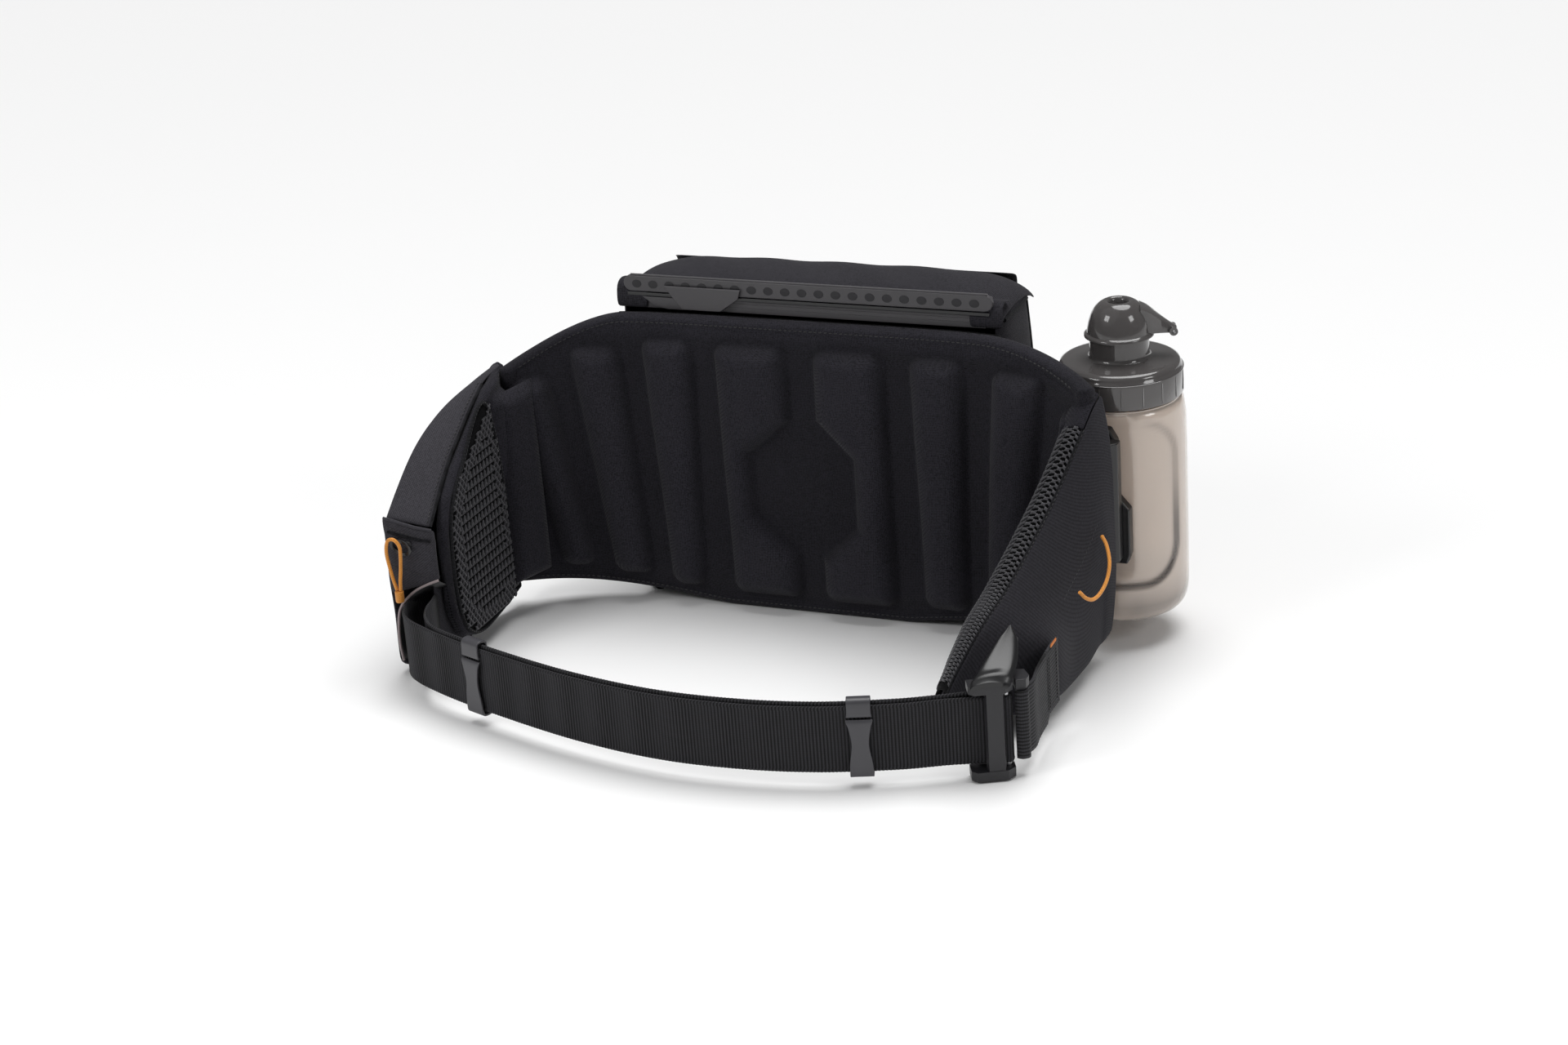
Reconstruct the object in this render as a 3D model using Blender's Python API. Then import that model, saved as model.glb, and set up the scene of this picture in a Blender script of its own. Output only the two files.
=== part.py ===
"""Waist pack with hip wings, a sliding closure, a webbing belt and a bottle on a magnetic base.

Frame: +X to the wearer's left as worn at the back, +Y away from the wearer, +Z up. The origin is
on the flat base of the main compartment. All driving dimensions are in millimetres.
"""
import math

import bmesh
import bpy
from mathutils import Matrix, Vector

MM = 0.001
GAP = 0.4                      # clearance between pieces that touch

# Back panel
PANEL_HALF = 184.0             # half width, measured along X
PANEL_Y = -39.0                # wearer's face of the panel at its centre
PANEL_CURL = 31.0              # how far the ends come forward at CURL_X
CURL_X = 181.0
CURL_POWER = 5
PANEL_THICK = 11.0
PANEL_TOP = 189.0
TOP_FLAT = 115.0               # the top edge is level up to this half width
TOP_DROP_LEFT = 31.0
TOP_DROP_RIGHT = 17.0
BOTTOM_FLAT = 60.0
BOTTOM_RISE = 17.0

# Main compartment
BODY_HALF = 122.0
WALL = 2.0
BASE_THICK = 3.0
BODY_Y = 45.0                  # outer wall at its deepest
BODY_TOP = 197.0
STIFFENER_THICK = 1.2
LINING_THICK = 1.4

# Closure
RAIL_HALF = 118.0
RAIL_Y = -28.5                 # wearer's face of the dotted rail
RAIL_LOW = 200.0
RAIL_HIGH = 210.0
RAIL_THICK = 3.7
HOOD_PIVOT = Vector((0.0, 37.0, 199.2))

# Hip wings
WING_X = 183.0
WING_START = -77.0
WING_PAD_THICK = 8.0
LEFT_PIVOT = Vector((-186.0, -74.0, 80.0))
RIGHT_PIVOT = Vector((186.0, -74.0, 80.0))
POCKET_X = -215.0
POCKET_FRONT = -173.0
POCKET_LOW = 5.0

# Belt: 40 mm webbing in two layers
WEB_WIDTH = 40.0
WEB_THICK = 1.4
WEB_LOW = 9.0
BACK_LAYER_LIFT = 2.0
BELT_PIVOT = Vector((-207.0, -175.5, 30.0))
BELT_PATH = [(-207, -176), (-206, -184), (-196, -200), (-170, -214.5), (-130, -230), (-68, -249),
             (-12, -259), (37, -259), (82, -252), (124, -238), (150, -225.5), (170, -215.5)]
BACK_LEAD = [(-191, -177), (-188.5, -189), (-181.5, -202)]
BACK_JOINS = 3                 # point of BELT_PATH where the back layer meets the front one
LAYER_PITCH = 1.9
BUCKLE = Vector((173.0, -215.0, 0.0))
BUCKLE_ANGLE = math.radians(26.5)
KEEPER_WIDTH = 13.0

# Bottle
BOTTLE = Vector((188.0, -10.0, 0.0))
BOTTLE_RADIUS = 38.0
BOTTLE_LOW = 16.0
BOTTLE_WALL = 1.6
RECESS_FLAT = 32.0             # distance of the recess floor from the bottle's axis
RECESS_LOW = 48.0
RECESS_HIGH = 148.0
CAP_RADIUS = 36.5
CAP_LOW = 150.5
CAP_TOP = 171.0
LID_ANGLE = math.radians(20.0)
LID_REACH = 31.0
LID_PIVOT_Z = 186.5


def clear_scene():
    for obj in list(bpy.data.objects):
        bpy.data.objects.remove(obj, do_unlink=True)


def material(name, colour, roughness, metallic=0.0, alpha=1.0):
    """Find or make a Principled material."""
    found = bpy.data.materials.get(name)
    if found:
        return found
    made = bpy.data.materials.new(name)
    made.use_nodes = True
    shader = made.node_tree.nodes["Principled BSDF"]
    shader.inputs["Base Color"].default_value = (*colour, 1.0)
    shader.inputs["Roughness"].default_value = roughness
    shader.inputs["Metallic"].default_value = metallic
    shader.inputs["Alpha"].default_value = alpha
    return made


def black_fabric():
    return material("black_fabric", (0.022, 0.021, 0.026), 0.92)


def grey_fabric():
    return material("grey_fabric", (0.035, 0.034, 0.040), 0.9)


def spacer_mesh():
    return material("spacer_mesh", (0.018, 0.018, 0.021), 0.95)


def webbing():
    return material("webbing", (0.016, 0.016, 0.018), 0.8)


def lining():
    return material("lining", (0.10, 0.10, 0.11), 0.85)


def soft_plastic():
    return material("soft_plastic", (0.045, 0.044, 0.047), 0.5)


def hard_plastic():
    return material("hard_plastic", (0.050, 0.050, 0.054), 0.4)


def steel():
    return material("steel", (0.55, 0.55, 0.56), 0.3, 1.0)


def orange_cord():
    return material("orange_cord", (0.90, 0.33, 0.04), 0.7)


def smoke_plastic():
    return material("smoke_plastic", (0.10, 0.095, 0.09), 0.2)


def clear_plastic():
    return material("clear_plastic", (0.55, 0.50, 0.45), 0.12, 0.0, 0.5)


def rubber():
    return material("rubber", (0.03, 0.03, 0.03), 0.8)


def add_object(name, bm, mat, origin=None, smooth=None):
    """Turn a bmesh in millimetres into an object whose origin is at origin."""
    bmesh.ops.recalc_face_normals(bm, faces=bm.faces)
    start = Vector(origin) if origin is not None else Vector()
    bmesh.ops.translate(bm, vec=-start, verts=bm.verts)
    bmesh.ops.scale(bm, vec=(MM, MM, MM), verts=bm.verts)
    mesh = bpy.data.meshes.new(name)
    bm.to_mesh(mesh)
    bm.free()
    mesh.materials.append(mat)
    if smooth is not None:
        mesh.shade_smooth()
        mesh.set_sharp_from_angle(angle=math.radians(smooth))
    obj = bpy.data.objects.new(name, mesh)
    obj.location = start * MM
    bpy.context.scene.collection.objects.link(obj)
    return obj


def bevel(obj, width, segments=2, angle=35.0):
    mod = obj.modifiers.new("edges", "BEVEL")
    mod.width = width * MM
    mod.segments = segments
    mod.limit_method = "ANGLE"
    mod.angle_limit = math.radians(angle)
    return obj


def cut(obj, cutter):
    """Take cutter's shape out of obj."""
    cutter.hide_render = True
    cutter.display_type = "WIRE"
    mod = obj.modifiers.new("cut", "BOOLEAN")
    mod.operation = "DIFFERENCE"
    mod.solver = "EXACT"
    mod.object = cutter
    return obj


def join(obj, extra):
    """Add extra's shape to obj."""
    extra.hide_render = True
    extra.display_type = "WIRE"
    mod = obj.modifiers.new("join", "BOOLEAN")
    mod.operation = "UNION"
    mod.solver = "EXACT"
    mod.object = extra
    return obj


def slab(front, back):
    """Closed sheet between two grids of points with the same rows and columns."""
    bm = bmesh.new()
    rows = len(front)
    cols = len(front[0])
    near = [[bm.verts.new(p) for p in row] for row in front]
    far = [[bm.verts.new(p) for p in row] for row in back]
    for i in range(rows - 1):
        for j in range(cols - 1):
            bm.faces.new((near[i][j], near[i][j + 1], near[i + 1][j + 1], near[i + 1][j]))
            bm.faces.new((far[i][j], far[i + 1][j], far[i + 1][j + 1], far[i][j + 1]))
    for j in range(cols - 1):
        bm.faces.new((near[0][j + 1], near[0][j], far[0][j], far[0][j + 1]))
        bm.faces.new((near[-1][j], near[-1][j + 1], far[-1][j + 1], far[-1][j]))
    for i in range(rows - 1):
        bm.faces.new((near[i][0], near[i + 1][0], far[i + 1][0], far[i][0]))
        bm.faces.new((near[i + 1][-1], near[i][-1], far[i][-1], far[i + 1][-1]))
    return bm


def grid_normals(grid):
    """Unit normals of a grid of points, from its row and column directions."""
    rows = len(grid)
    cols = len(grid[0])
    normals = []
    for i in range(rows):
        line = []
        for j in range(cols):
            along = grid[i][min(j + 1, cols - 1)] - grid[i][max(j - 1, 0)]
            across = grid[min(i + 1, rows - 1)][j] - grid[max(i - 1, 0)][j]
            line.append(along.cross(across).normalized())
        normals.append(line)
    return normals


def sheet(grid, thickness):
    """Closed sheet of one thickness, growing along the grid's normals."""
    normals = grid_normals(grid)
    back = [[p + n * thickness for p, n in zip(row, line)] for row, line in zip(grid, normals)]
    return slab(grid, back)


def prism(outline, origin, axis_u, axis_v, depth):
    """Extrude an outline in the plane of axis_u and axis_v along their cross product."""
    u = Vector(axis_u).normalized()
    v = Vector(axis_v).normalized()
    w = u.cross(v) * depth
    bm = bmesh.new()
    base = [bm.verts.new(Vector(origin) + u * a + v * b) for a, b in outline]
    top = [bm.verts.new(p.co + w) for p in base]
    bm.faces.new(base)
    bm.faces.new(reversed(top))
    count = len(base)
    for i in range(count):
        bm.faces.new((base[i], top[i], top[(i + 1) % count], base[(i + 1) % count]))
    return bm


def box(low, high):
    """Axis-aligned box between two corners."""
    bm = bmesh.new()
    size = Vector(high) - Vector(low)
    middle = (Vector(high) + Vector(low)) / 2
    bmesh.ops.create_cube(bm, size=1.0)
    bmesh.ops.scale(bm, vec=size, verts=bm.verts)
    bmesh.ops.translate(bm, vec=middle, verts=bm.verts)
    return bm


def turned(profile, centre, segments=32, axis="Z"):
    """Turn a closed profile of (radius, height) points; a radius of 0 is on the axis."""
    bm = bmesh.new()
    rings = []
    for radius, height in profile:
        if radius < 1e-6:
            rings.append([bm.verts.new((0, 0, height))])
            continue
        ring = []
        for k in range(segments):
            turn = 2 * math.pi * k / segments
            ring.append(bm.verts.new((radius * math.cos(turn), radius * math.sin(turn), height)))
        rings.append(ring)
    on_axis = len(rings[0]) == 1 and len(rings[-1]) == 1
    pairs = list(zip(rings, rings[1:]))
    if not on_axis:
        pairs.append((rings[-1], rings[0]))
    for low, high in pairs:
        for k in range(segments):
            nxt = (k + 1) % segments
            if len(low) == 1 and len(high) == 1:
                continue
            if len(low) == 1:
                bm.faces.new((low[0], high[nxt], high[k]))
            elif len(high) == 1:
                bm.faces.new((low[k], low[nxt], high[0]))
            else:
                bm.faces.new((low[k], low[nxt], high[nxt], high[k]))
    if axis == "Y":
        bmesh.ops.rotate(bm, matrix=Matrix.Rotation(-math.pi / 2, 3, "X"), verts=bm.verts)
    bmesh.ops.translate(bm, vec=centre, verts=bm.verts)
    return bm


def smooth_path(points, steps):
    """Points on a Catmull-Rom curve through points, steps for each span."""
    pts = [Vector(p) for p in points]
    pts = [pts[0] * 2 - pts[1]] + pts + [pts[-1] * 2 - pts[-2]]
    made = []
    for i in range(1, len(pts) - 2):
        a, b, c, d = pts[i - 1], pts[i], pts[i + 1], pts[i + 2]
        for k in range(steps):
            t = k / steps
            made.append(0.5 * (2 * b + (c - a) * t + (2 * a - 5 * b + 4 * c - d) * t ** 2
                               + (3 * b - a - 3 * c + d) * t ** 3))
    made.append(pts[-2])
    return made


def ribbon(path, thickness, low, high):
    """Upright strip along a plan path; it grows to the path's left; low and high vary along it."""
    count = len(path)
    front = []
    back = []
    for i, p in enumerate(path):
        along = (path[min(i + 1, count - 1)] - path[max(i - 1, 0)]).normalized()
        side = Vector((-along.y, along.x)) * thickness
        fraction = i / (count - 1)
        front.append([Vector((p.x, p.y, low(fraction))), Vector((p.x, p.y, high(fraction)))])
        q = p + side
        back.append([Vector((q.x, q.y, low(fraction))), Vector((q.x, q.y, high(fraction)))])
    return slab(front, back)


def cord(name, points, radius, mat):
    """Round cord along a smooth curve through points."""
    curve = bpy.data.curves.new(name, "CURVE")
    curve.dimensions = "3D"
    curve.bevel_depth = radius * MM
    curve.bevel_resolution = 2
    curve.use_fill_caps = True
    spline = curve.splines.new("POLY")
    route = smooth_path(points, 3)
    spline.points.add(len(route) - 1)
    for spot, p in zip(spline.points, route):
        spot.co = (*(p * MM), 1.0)
    curve.materials.append(mat)
    obj = bpy.data.objects.new(name, curve)
    bpy.context.scene.collection.objects.link(obj)
    return obj


# ---------------------------------------------------------------- back panel

def panel_front(x):
    """Wearer's face of the panel in plan, as a point and its outward (+Y) normal."""
    y = PANEL_Y - PANEL_CURL * abs(x / CURL_X) ** CURL_POWER
    slope = PANEL_CURL * CURL_POWER * abs(x / CURL_X) ** (CURL_POWER - 1) / CURL_X
    slope = -slope if x > 0 else slope
    normal = Vector((-slope, 1.0)).normalized()
    return Vector((x, y)), normal


def panel_top(x):
    drop = TOP_DROP_LEFT if x < 0 else TOP_DROP_RIGHT
    past = max(0.0, abs(x) - TOP_FLAT) / (PANEL_HALF - TOP_FLAT)
    return PANEL_TOP - drop * past ** 1.6


def panel_bottom(x):
    return BOTTOM_RISE * max(0.0, abs(x) - BOTTOM_FLAT) / (PANEL_HALF - BOTTOM_FLAT)


def panel_layer(half, near, far, bottom_inset, top_inset, columns, rows):
    """Sheet that follows the panel between two depths behind its face."""
    front = []
    back = []
    for j in range(columns + 1):
        x = -half + 2 * half * j / columns
        point, normal = panel_front(x)
        a = point + normal * near
        b = point + normal * far
        low = panel_bottom(x) + bottom_inset
        high = panel_top(x) - top_inset
        heights = [low + (high - low) * i / rows for i in range(rows + 1)]
        front.append([Vector((a.x, a.y, z)) for z in heights])
        back.append([Vector((b.x, b.y, z)) for z in heights])
    return slab(front, back)


def make_back_panel():
    foam = add_object("back_panel_foam", panel_layer(PANEL_HALF, 0.0, PANEL_THICK, 0.0, 0.0, 32, 2),
                      black_fabric(), smooth=30)
    bevel(foam, 2.5)
    near = PANEL_THICK + GAP
    far = near + STIFFENER_THICK
    add_object("back_panel_stiffener",
               panel_layer(BODY_HALF - 6, near, far, 6.0, 6.0, 16, 1), hard_plastic())
    near = far + GAP
    add_object("main_back_wall",
               panel_layer(BODY_HALF - 2, near, near + LINING_THICK, 3.6, 2.0, 16, 1), lining())


# ---------------------------------------------------------------- main compartment

INNER_Y = PANEL_Y + PANEL_THICK + STIFFENER_THICK + LINING_THICK + 2 * GAP


def outer_wall_y(x, z):
    """Outer face of the compartment's outer wall."""
    middle = BODY_TOP / 2
    return BODY_Y - 7.0 * abs(x / BODY_HALF) ** 4 - 7.0 * abs((z - middle) / middle) ** 2


def make_main_compartment():
    base_back = outer_wall_y(0, 0) - WALL - GAP
    outline = [(-BODY_HALF + 4, PANEL_Y + PANEL_THICK + GAP), (BODY_HALF - 4, PANEL_Y + PANEL_THICK + GAP),
               (BODY_HALF - 4, base_back - 8), (BODY_HALF * 0.7, base_back - 2.0),
               (0, base_back), (-BODY_HALF * 0.7, base_back - 2.0), (-BODY_HALF + 4, base_back - 8)]
    base = add_object("main_base", prism(outline, (0, 0, 0), (1, 0, 0), (0, 1, 0), BASE_THICK),
                      black_fabric())
    bevel(base, 0.8)
    rows = [3.6 + (BODY_TOP - 3.6) * i / 8 for i in range(9)]
    xs = [-BODY_HALF + 2 * BODY_HALF * j / 16 for j in range(17)]
    outer = [[Vector((x, outer_wall_y(x, z), z)) for x in xs] for z in rows]
    inner = [[Vector((x, outer_wall_y(x, z) - WALL, z)) for x in xs] for z in rows]
    add_object("main_outer_wall", slab(outer, inner), black_fabric(), smooth=40)
    for side, name in ((-1, "main_side_left"), (1, "main_side_right")):
        near = []
        far = []
        for z in rows:
            back = outer_wall_y(BODY_HALF, z) - WALL - GAP
            ys = [INNER_Y + GAP + (back - INNER_Y - GAP) * j / 4 for j in range(5)]
            bulge = [3.0 * math.sin(math.pi * j / 4) for j in range(5)]
            near.append([Vector((side * (BODY_HALF - WALL + b), y, z)) for y, b in zip(ys, bulge)])
            far.append([Vector((side * (BODY_HALF + b), y, z)) for y, b in zip(ys, bulge)])
        add_object(name, slab(near, far), black_fabric(), smooth=40)


def make_front_pocket():
    """Flat outer pocket with a zip along its top."""
    half = 108.0
    low = 14.0
    top = 148.0
    grid = []
    for i in range(11):
        z = low + (top - low) * i / 10
        up = math.sin(math.pi * (0.05 + 0.80 * i / 10)) ** 0.7
        row = []
        for j in range(17):
            x = -half + 2 * half * j / 16
            across = 1 - abs(x / half) ** 5
            row.append(Vector((x, outer_wall_y(x, z) + WALL + GAP + 15.0 * up * across, z)))
        grid.append(row)
    back = [[p - Vector((0, WALL, 0)) for p in row] for row in grid]
    add_object("outer_pocket_panel", slab(grid, back), black_fabric(), smooth=40)
    spans = (("zip_tape_lower", top + GAP, top + 4.4), ("zip_tape_upper", top + 4.8, top + 8.8))
    for name, bottom, high in spans:
        xs = [-half + 2 * half * j / 12 for j in range(13)]
        face = [[Vector((x, outer_wall_y(x, z) + GAP, z)) for x in xs] for z in (bottom, high)]
        deep = [[p + Vector((0, 1.2, 0)) for p in row] for row in face]
        add_object(name, slab(face, deep), webbing())


ZIP_Z = 152.6
ZIP_SLIDER_X = -84.0


def make_zip_slider():
    """Slider and flat puller of the outer pocket's zip."""
    y = outer_wall_y(0, ZIP_Z) + 2.1
    body = box((ZIP_SLIDER_X - 5, y, ZIP_Z - 3.5), (ZIP_SLIDER_X + 5, y + 2.6, ZIP_Z + 3.5))
    slider = add_object("outer_zip_slider", body, steel(), origin=(ZIP_SLIDER_X, y, ZIP_Z))
    bevel(slider, 0.8)
    outline = [(2.0, -2.0), (2.0, 2.0), (-20, 3.6), (-24, 2.4), (-24, -2.4), (-20, -3.6)]
    pull = prism(outline, (ZIP_SLIDER_X, y + 4.4, ZIP_Z + 1.6), (1, 0, 0), (0, 0, 1), 1.4)
    bevel(add_object("outer_zip_pull", pull, orange_cord()), 0.5)


# ---------------------------------------------------------------- closure and hood

def make_closure_strip():
    """Smooth strip that carries the fixed rail above the panel's top seam."""
    outline = [(-27.2, 189.6), (-25.8, 189.6), (-24.9, 196.0), (-24.9, 199.0), (-26.3, 199.0),
               (-26.3, 196.6)]
    strip = prism(outline, (-RAIL_HALF + 5, 0, 0), (0, 1, 0), (0, 0, 1), 2 * RAIL_HALF - 10)
    add_object("closure_strip", strip, soft_plastic())


def make_fixed_rail():
    """Ribbed rail on the panel's side, with its pull tab."""
    outline = [(-24.5, 195.6), (-20.6, 195.6), (-20.6, 207.5), (-24.5, 207.5)]
    bar = prism(outline, (-RAIL_HALF + 2, 0, 0), (0, 1, 0), (0, 0, 1), 2 * RAIL_HALF - 4)
    bevel(add_object("closure_rail_fixed", bar, soft_plastic()), 0.6)
    ribs = [(-28.3, 197.2), (-26.8, 197.2), (-26.8, 199.5), (-28.3, 199.5)]
    rib = prism(ribs, (-RAIL_HALF + 2, 0, 0), (0, 1, 0), (0, 0, 1), 2 * RAIL_HALF - 4)
    bevel(add_object("closure_rail_rib", rib, soft_plastic()), 0.4)
    tab = [(-106, 197.0), (-62, 197.0), (-68, 191.4), (-74, 189.7), (-90, 189.7), (-98, 191.4)]
    plate = prism(tab, (0, -27.7, 0), (1, 0, 0), (0, 0, 1), 1.0)
    bevel(add_object("closure_tab_rear", plate, soft_plastic()), 0.3)


def make_sliding_rail():
    """Dotted rail on the hood's edge, with its pull tab."""
    middle = (RAIL_LOW + RAIL_HIGH) / 2
    radius = (RAIL_HIGH - RAIL_LOW) / 2
    outline = []
    for k in range(9):
        turn = -math.pi / 2 + math.pi * k / 8
        outline.append((RAIL_HALF - radius + radius * math.cos(turn), middle + radius * math.sin(turn)))
    for k in range(9):
        turn = math.pi / 2 + math.pi * k / 8
        outline.append((-RAIL_HALF + radius + radius * math.cos(turn), middle + radius * math.sin(turn)))
    bar = prism(outline, (0, RAIL_Y + RAIL_THICK, 0), (1, 0, 0), (0, 0, 1), RAIL_THICK)
    bevel(add_object("closure_rail_sliding", bar, soft_plastic()), 0.6)
    tab = [(-90, 205.0), (-40, 205.0), (-42, 199.0), (-54, 190.6), (-79, 190.6), (-86, 199.0)]
    plate = prism(tab, (0, RAIL_Y - 0.7, 0), (1, 0, 0), (0, 0, 1), 1.5)
    bevel(add_object("closure_tab_front", plate, soft_plastic()), 0.4)


def make_hood():
    """Fabric top that folds over the compartment and carries the sliding rail."""
    half = BODY_HALF + 5.0
    profile = smooth_path([(-19.6, 209.5), (-14, 212.2), (-2, 213.6), (14, 212.2), (28, 207.5),
                           (37.2, 200.4)], 3)
    fractions = [-1.0, -0.995, -0.975, -0.93, -0.86, -0.6, -0.3, 0.0, 0.3, 0.6, 0.86, 0.93, 0.975,
                 0.995, 1.0]
    drops = {1.0: 14.0, 0.995: 8.0, 0.975: 4.0, 0.93: 1.6, 0.86: 0.7}
    grid = []
    for f in fractions:
        drop = drops.get(abs(f), 0.0)
        grid.append([Vector((f * half, p.x - drop * 0.12, p.y - drop)) for p in profile])
    normals = grid_normals(grid)
    sign = -1.0 if normals[7][8].z > 0 else 1.0
    inner = [[p + n * sign * 1.6 for p, n in zip(row, line)] for row, line in zip(grid, normals)]
    add_object("hood_panel", slab(grid, inner), black_fabric(), origin=HOOD_PIVOT, smooth=50)


# ---------------------------------------------------------------- left wing

def left_pad_outline():
    return [(-77, 17), (-110, 13), (-136, 11), (-154, 18), (-162, 36), (-164, 64), (-161, 94),
            (-155, 108), (-141, 122), (-92, 155), (-77, 157)]


def pocket_rim_z(y):
    """Height of the left pocket's outer top edge."""
    past = max(0.0, min(1.0, (-y - 88.0) / 85.0))
    return 154.0 - 20.0 * past - 34.0 * past ** 4


def make_left_wing():
    outline = [(y, z) for y, z in left_pad_outline()]
    pad = prism(outline, (-WING_X - WING_PAD_THICK, 0, 0), (0, 1, 0), (0, 0, 1), WING_PAD_THICK)
    bevel(add_object("left_wing_pad", pad, black_fabric(), origin=LEFT_PIVOT), 1.5)
    mesh_outline = [(-84, 20), (-110, 16), (-135, 14), (-151, 21), (-158.5, 38), (-160.5, 64),
                    (-157.5, 92), (-152, 105), (-139, 118), (-98, 145)]
    face = prism(mesh_outline, (-WING_X + GAP, 0, 0), (0, 1, 0), (0, 0, 1), 2.0)
    bevel(add_object("left_wing_mesh", face, spacer_mesh(), origin=LEFT_PIVOT), 0.6)


def pocket_plan():
    """Plan of the left pocket's outer wall, from its front corner to the panel."""
    return smooth_path([(POCKET_X, POCKET_FRONT), (POCKET_X - 0.5, -150), (POCKET_X + 1.0, -126),
                        (POCKET_X + 8, -104), (POCKET_X + 19, -86)], 3)


def pocket_inner_x(y):
    """Inner face of the left pocket's outer wall at a place along the wing."""
    path = pocket_plan()
    for a, b in zip(path, path[1:]):
        if a.y <= y <= b.y:
            return a.x + (b.x - a.x) * (y - a.y) / (b.y - a.y) + WALL * 1.15
    return POCKET_X + WALL * 1.15


def make_left_pocket():
    path = pocket_plan()
    near = []
    far = []
    for i, p in enumerate(path):
        along = (path[min(i + 1, len(path) - 1)] - path[max(i - 1, 0)]).normalized()
        side = Vector((along.y, -along.x)) * WALL
        top = pocket_rim_z(p.y) - 1.0
        heights = [POCKET_LOW + (top - POCKET_LOW) * k / 4 for k in range(5)]
        swell = [2.0 * math.sin(math.pi * k / 4) * math.sin(math.pi * i / (len(path) - 1))
                 for k in range(5)]
        near.append([Vector((p.x - s, p.y, z)) for z, s in zip(heights, swell)])
        far.append([Vector((p.x + side.x - s, p.y + side.y, z)) for z, s in zip(heights, swell)])
    add_object("left_pocket_wall", slab(near, far), grey_fabric(), origin=LEFT_PIVOT, smooth=40)

    inner_edge = [(-92, 154.5), (-116, 138), (-141, 121.5), (-155, 107.5), (-161, 95)]
    outer_edge = [(-90, 153.0), (-114, 146), (-139, 134), (-157, 118), (-170.5, 101)]
    rows = []
    for (y_in, z_in), (y_out, z_out) in zip(inner_edge, outer_edge):
        inner = Vector((-WING_X - WING_PAD_THICK - GAP, y_in, z_in))
        outer = Vector((pocket_inner_x(y_out) + 1.0, y_out, z_out))
        middle = (inner + outer) / 2 + Vector((0, 0, 1.5))
        rows.append([inner, middle, outer])
    lowered = [[p - Vector((0, 0, WALL)) for p in row] for row in rows]
    add_object("left_pocket_top", slab(rows, lowered), grey_fabric(), origin=LEFT_PIVOT, smooth=40)

    left = POCKET_X + WALL + 1.0
    lower = [(left, 52), (left, 79), (-192, 79), (-192, 61)]
    flap = [(left, 88.5), (left, 98), (-192, 93), (-192, 88.5)]
    for name, outline in (("left_pocket_end", lower), ("left_zip_flap", flap)):
        face = prism(outline, (0, POCKET_FRONT + 3.4, 0), (1, 0, 0), (0, 0, 1), WALL)
        add_object(name, face, grey_fabric(), origin=LEFT_PIVOT)
    spots = [p for p in pocket_plan() if p.y < -92]
    floor = [(p.x + WALL + 2.6, p.y) for p in spots[1:]]
    floor = [(-192, spots[1].y), *floor, (-192, spots[-1].y)]
    base = prism(floor, (0, 0, POCKET_LOW), (1, 0, 0), (0, 1, 0), 1.8)
    add_object("left_pocket_base", base, grey_fabric(), origin=LEFT_PIVOT)


def make_left_sleeve():
    """Bound edge of the sleeve that the belt comes out of, and the webbing held inside it."""
    edge = smooth_path([(-186.5, -169, 63), (-196, -172, 58), (-206, -174.5, 52), (-213, -175.6, 44),
                        (-215.6, -176.2, 30), (-215.8, -176.4, 8)], 3)
    front = []
    back = []
    for p in edge:
        inward = Vector((0.55, 0.0, -0.83)) if p.z > 44 else Vector((1.0, 0.0, 0.0))
        front.append([p, p + inward * 2.4])
        back.append([p + Vector((0, 1.6, 0)), p + inward * 2.4 + Vector((0, 1.6, 0))])
    add_object("left_sleeve_binding", slab(front, back), soft_plastic(), origin=LEFT_PIVOT)
    outer = [Vector((-207.0, -171.0)), Vector((-207.4, -150)), Vector((-206.5, -112))]
    add_object("belt_anchor_outer", ribbon(outer, WEB_THICK, lambda f: WEB_LOW, lambda f: WEB_LOW + WEB_WIDTH),
               webbing(), origin=LEFT_PIVOT)
    inner = [Vector((-194.5, -171.0)), Vector((-196, -150)), Vector((-198, -112))]
    add_object("belt_anchor_inner", ribbon(inner, WEB_THICK, lambda f: WEB_LOW + BACK_LAYER_LIFT,
               lambda f: WEB_LOW + WEB_WIDTH + BACK_LAYER_LIFT), webbing(), origin=LEFT_PIVOT)


PULL = Vector((-205.0, POCKET_FRONT - 0.4, 84.0))


def make_left_zip_pull():
    """Slider with an oval ring and a doubled cord, at the front end of the left pocket."""
    body = box((PULL.x - 4, PULL.y - 2.6, PULL.z - 3), (PULL.x + 4, PULL.y, PULL.z + 3))
    bevel(add_object("left_zip_slider", body, hard_plastic(), origin=PULL), 0.7)
    ring = []
    for k in range(20):
        turn = 2 * math.pi * k / 20
        ring.append((8.0 * math.cos(turn), 5.0 * math.sin(turn)))
    hole = []
    for k in range(20):
        turn = 2 * math.pi * k / 20
        hole.append((5.6 * math.cos(turn), 2.9 * math.sin(turn)))
    centre = PULL + Vector((-1.0, -4.4, 0))
    tilt_u = Vector((1.0, -0.15, -0.20))
    tilt_v = Vector((0.20, 0.0, 1.0))
    plate = add_object("left_zip_ring", prism(ring, centre, tilt_u, tilt_v, 1.3), hard_plastic(),
                       origin=PULL)
    cutter = add_object("ring_hole", prism(hole, centre - tilt_u.cross(tilt_v) * 1.0, tilt_u, tilt_v, 4.0),
                        hard_plastic())
    cut(plate, cutter)
    crimp = turned([(0, -3.5), (2.4, -3.5), (2.7, -3), (2.7, 3), (2.4, 3.5), (0, 3.5)],
                   PULL + Vector((-3.6, -9.4, -30.2)), 16)
    add_object("left_cord_crimp", crimp, hard_plastic(), origin=PULL, smooth=40)
    cord("left_pull_cord", LEFT_CORD, 1.1, orange_cord())


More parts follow.
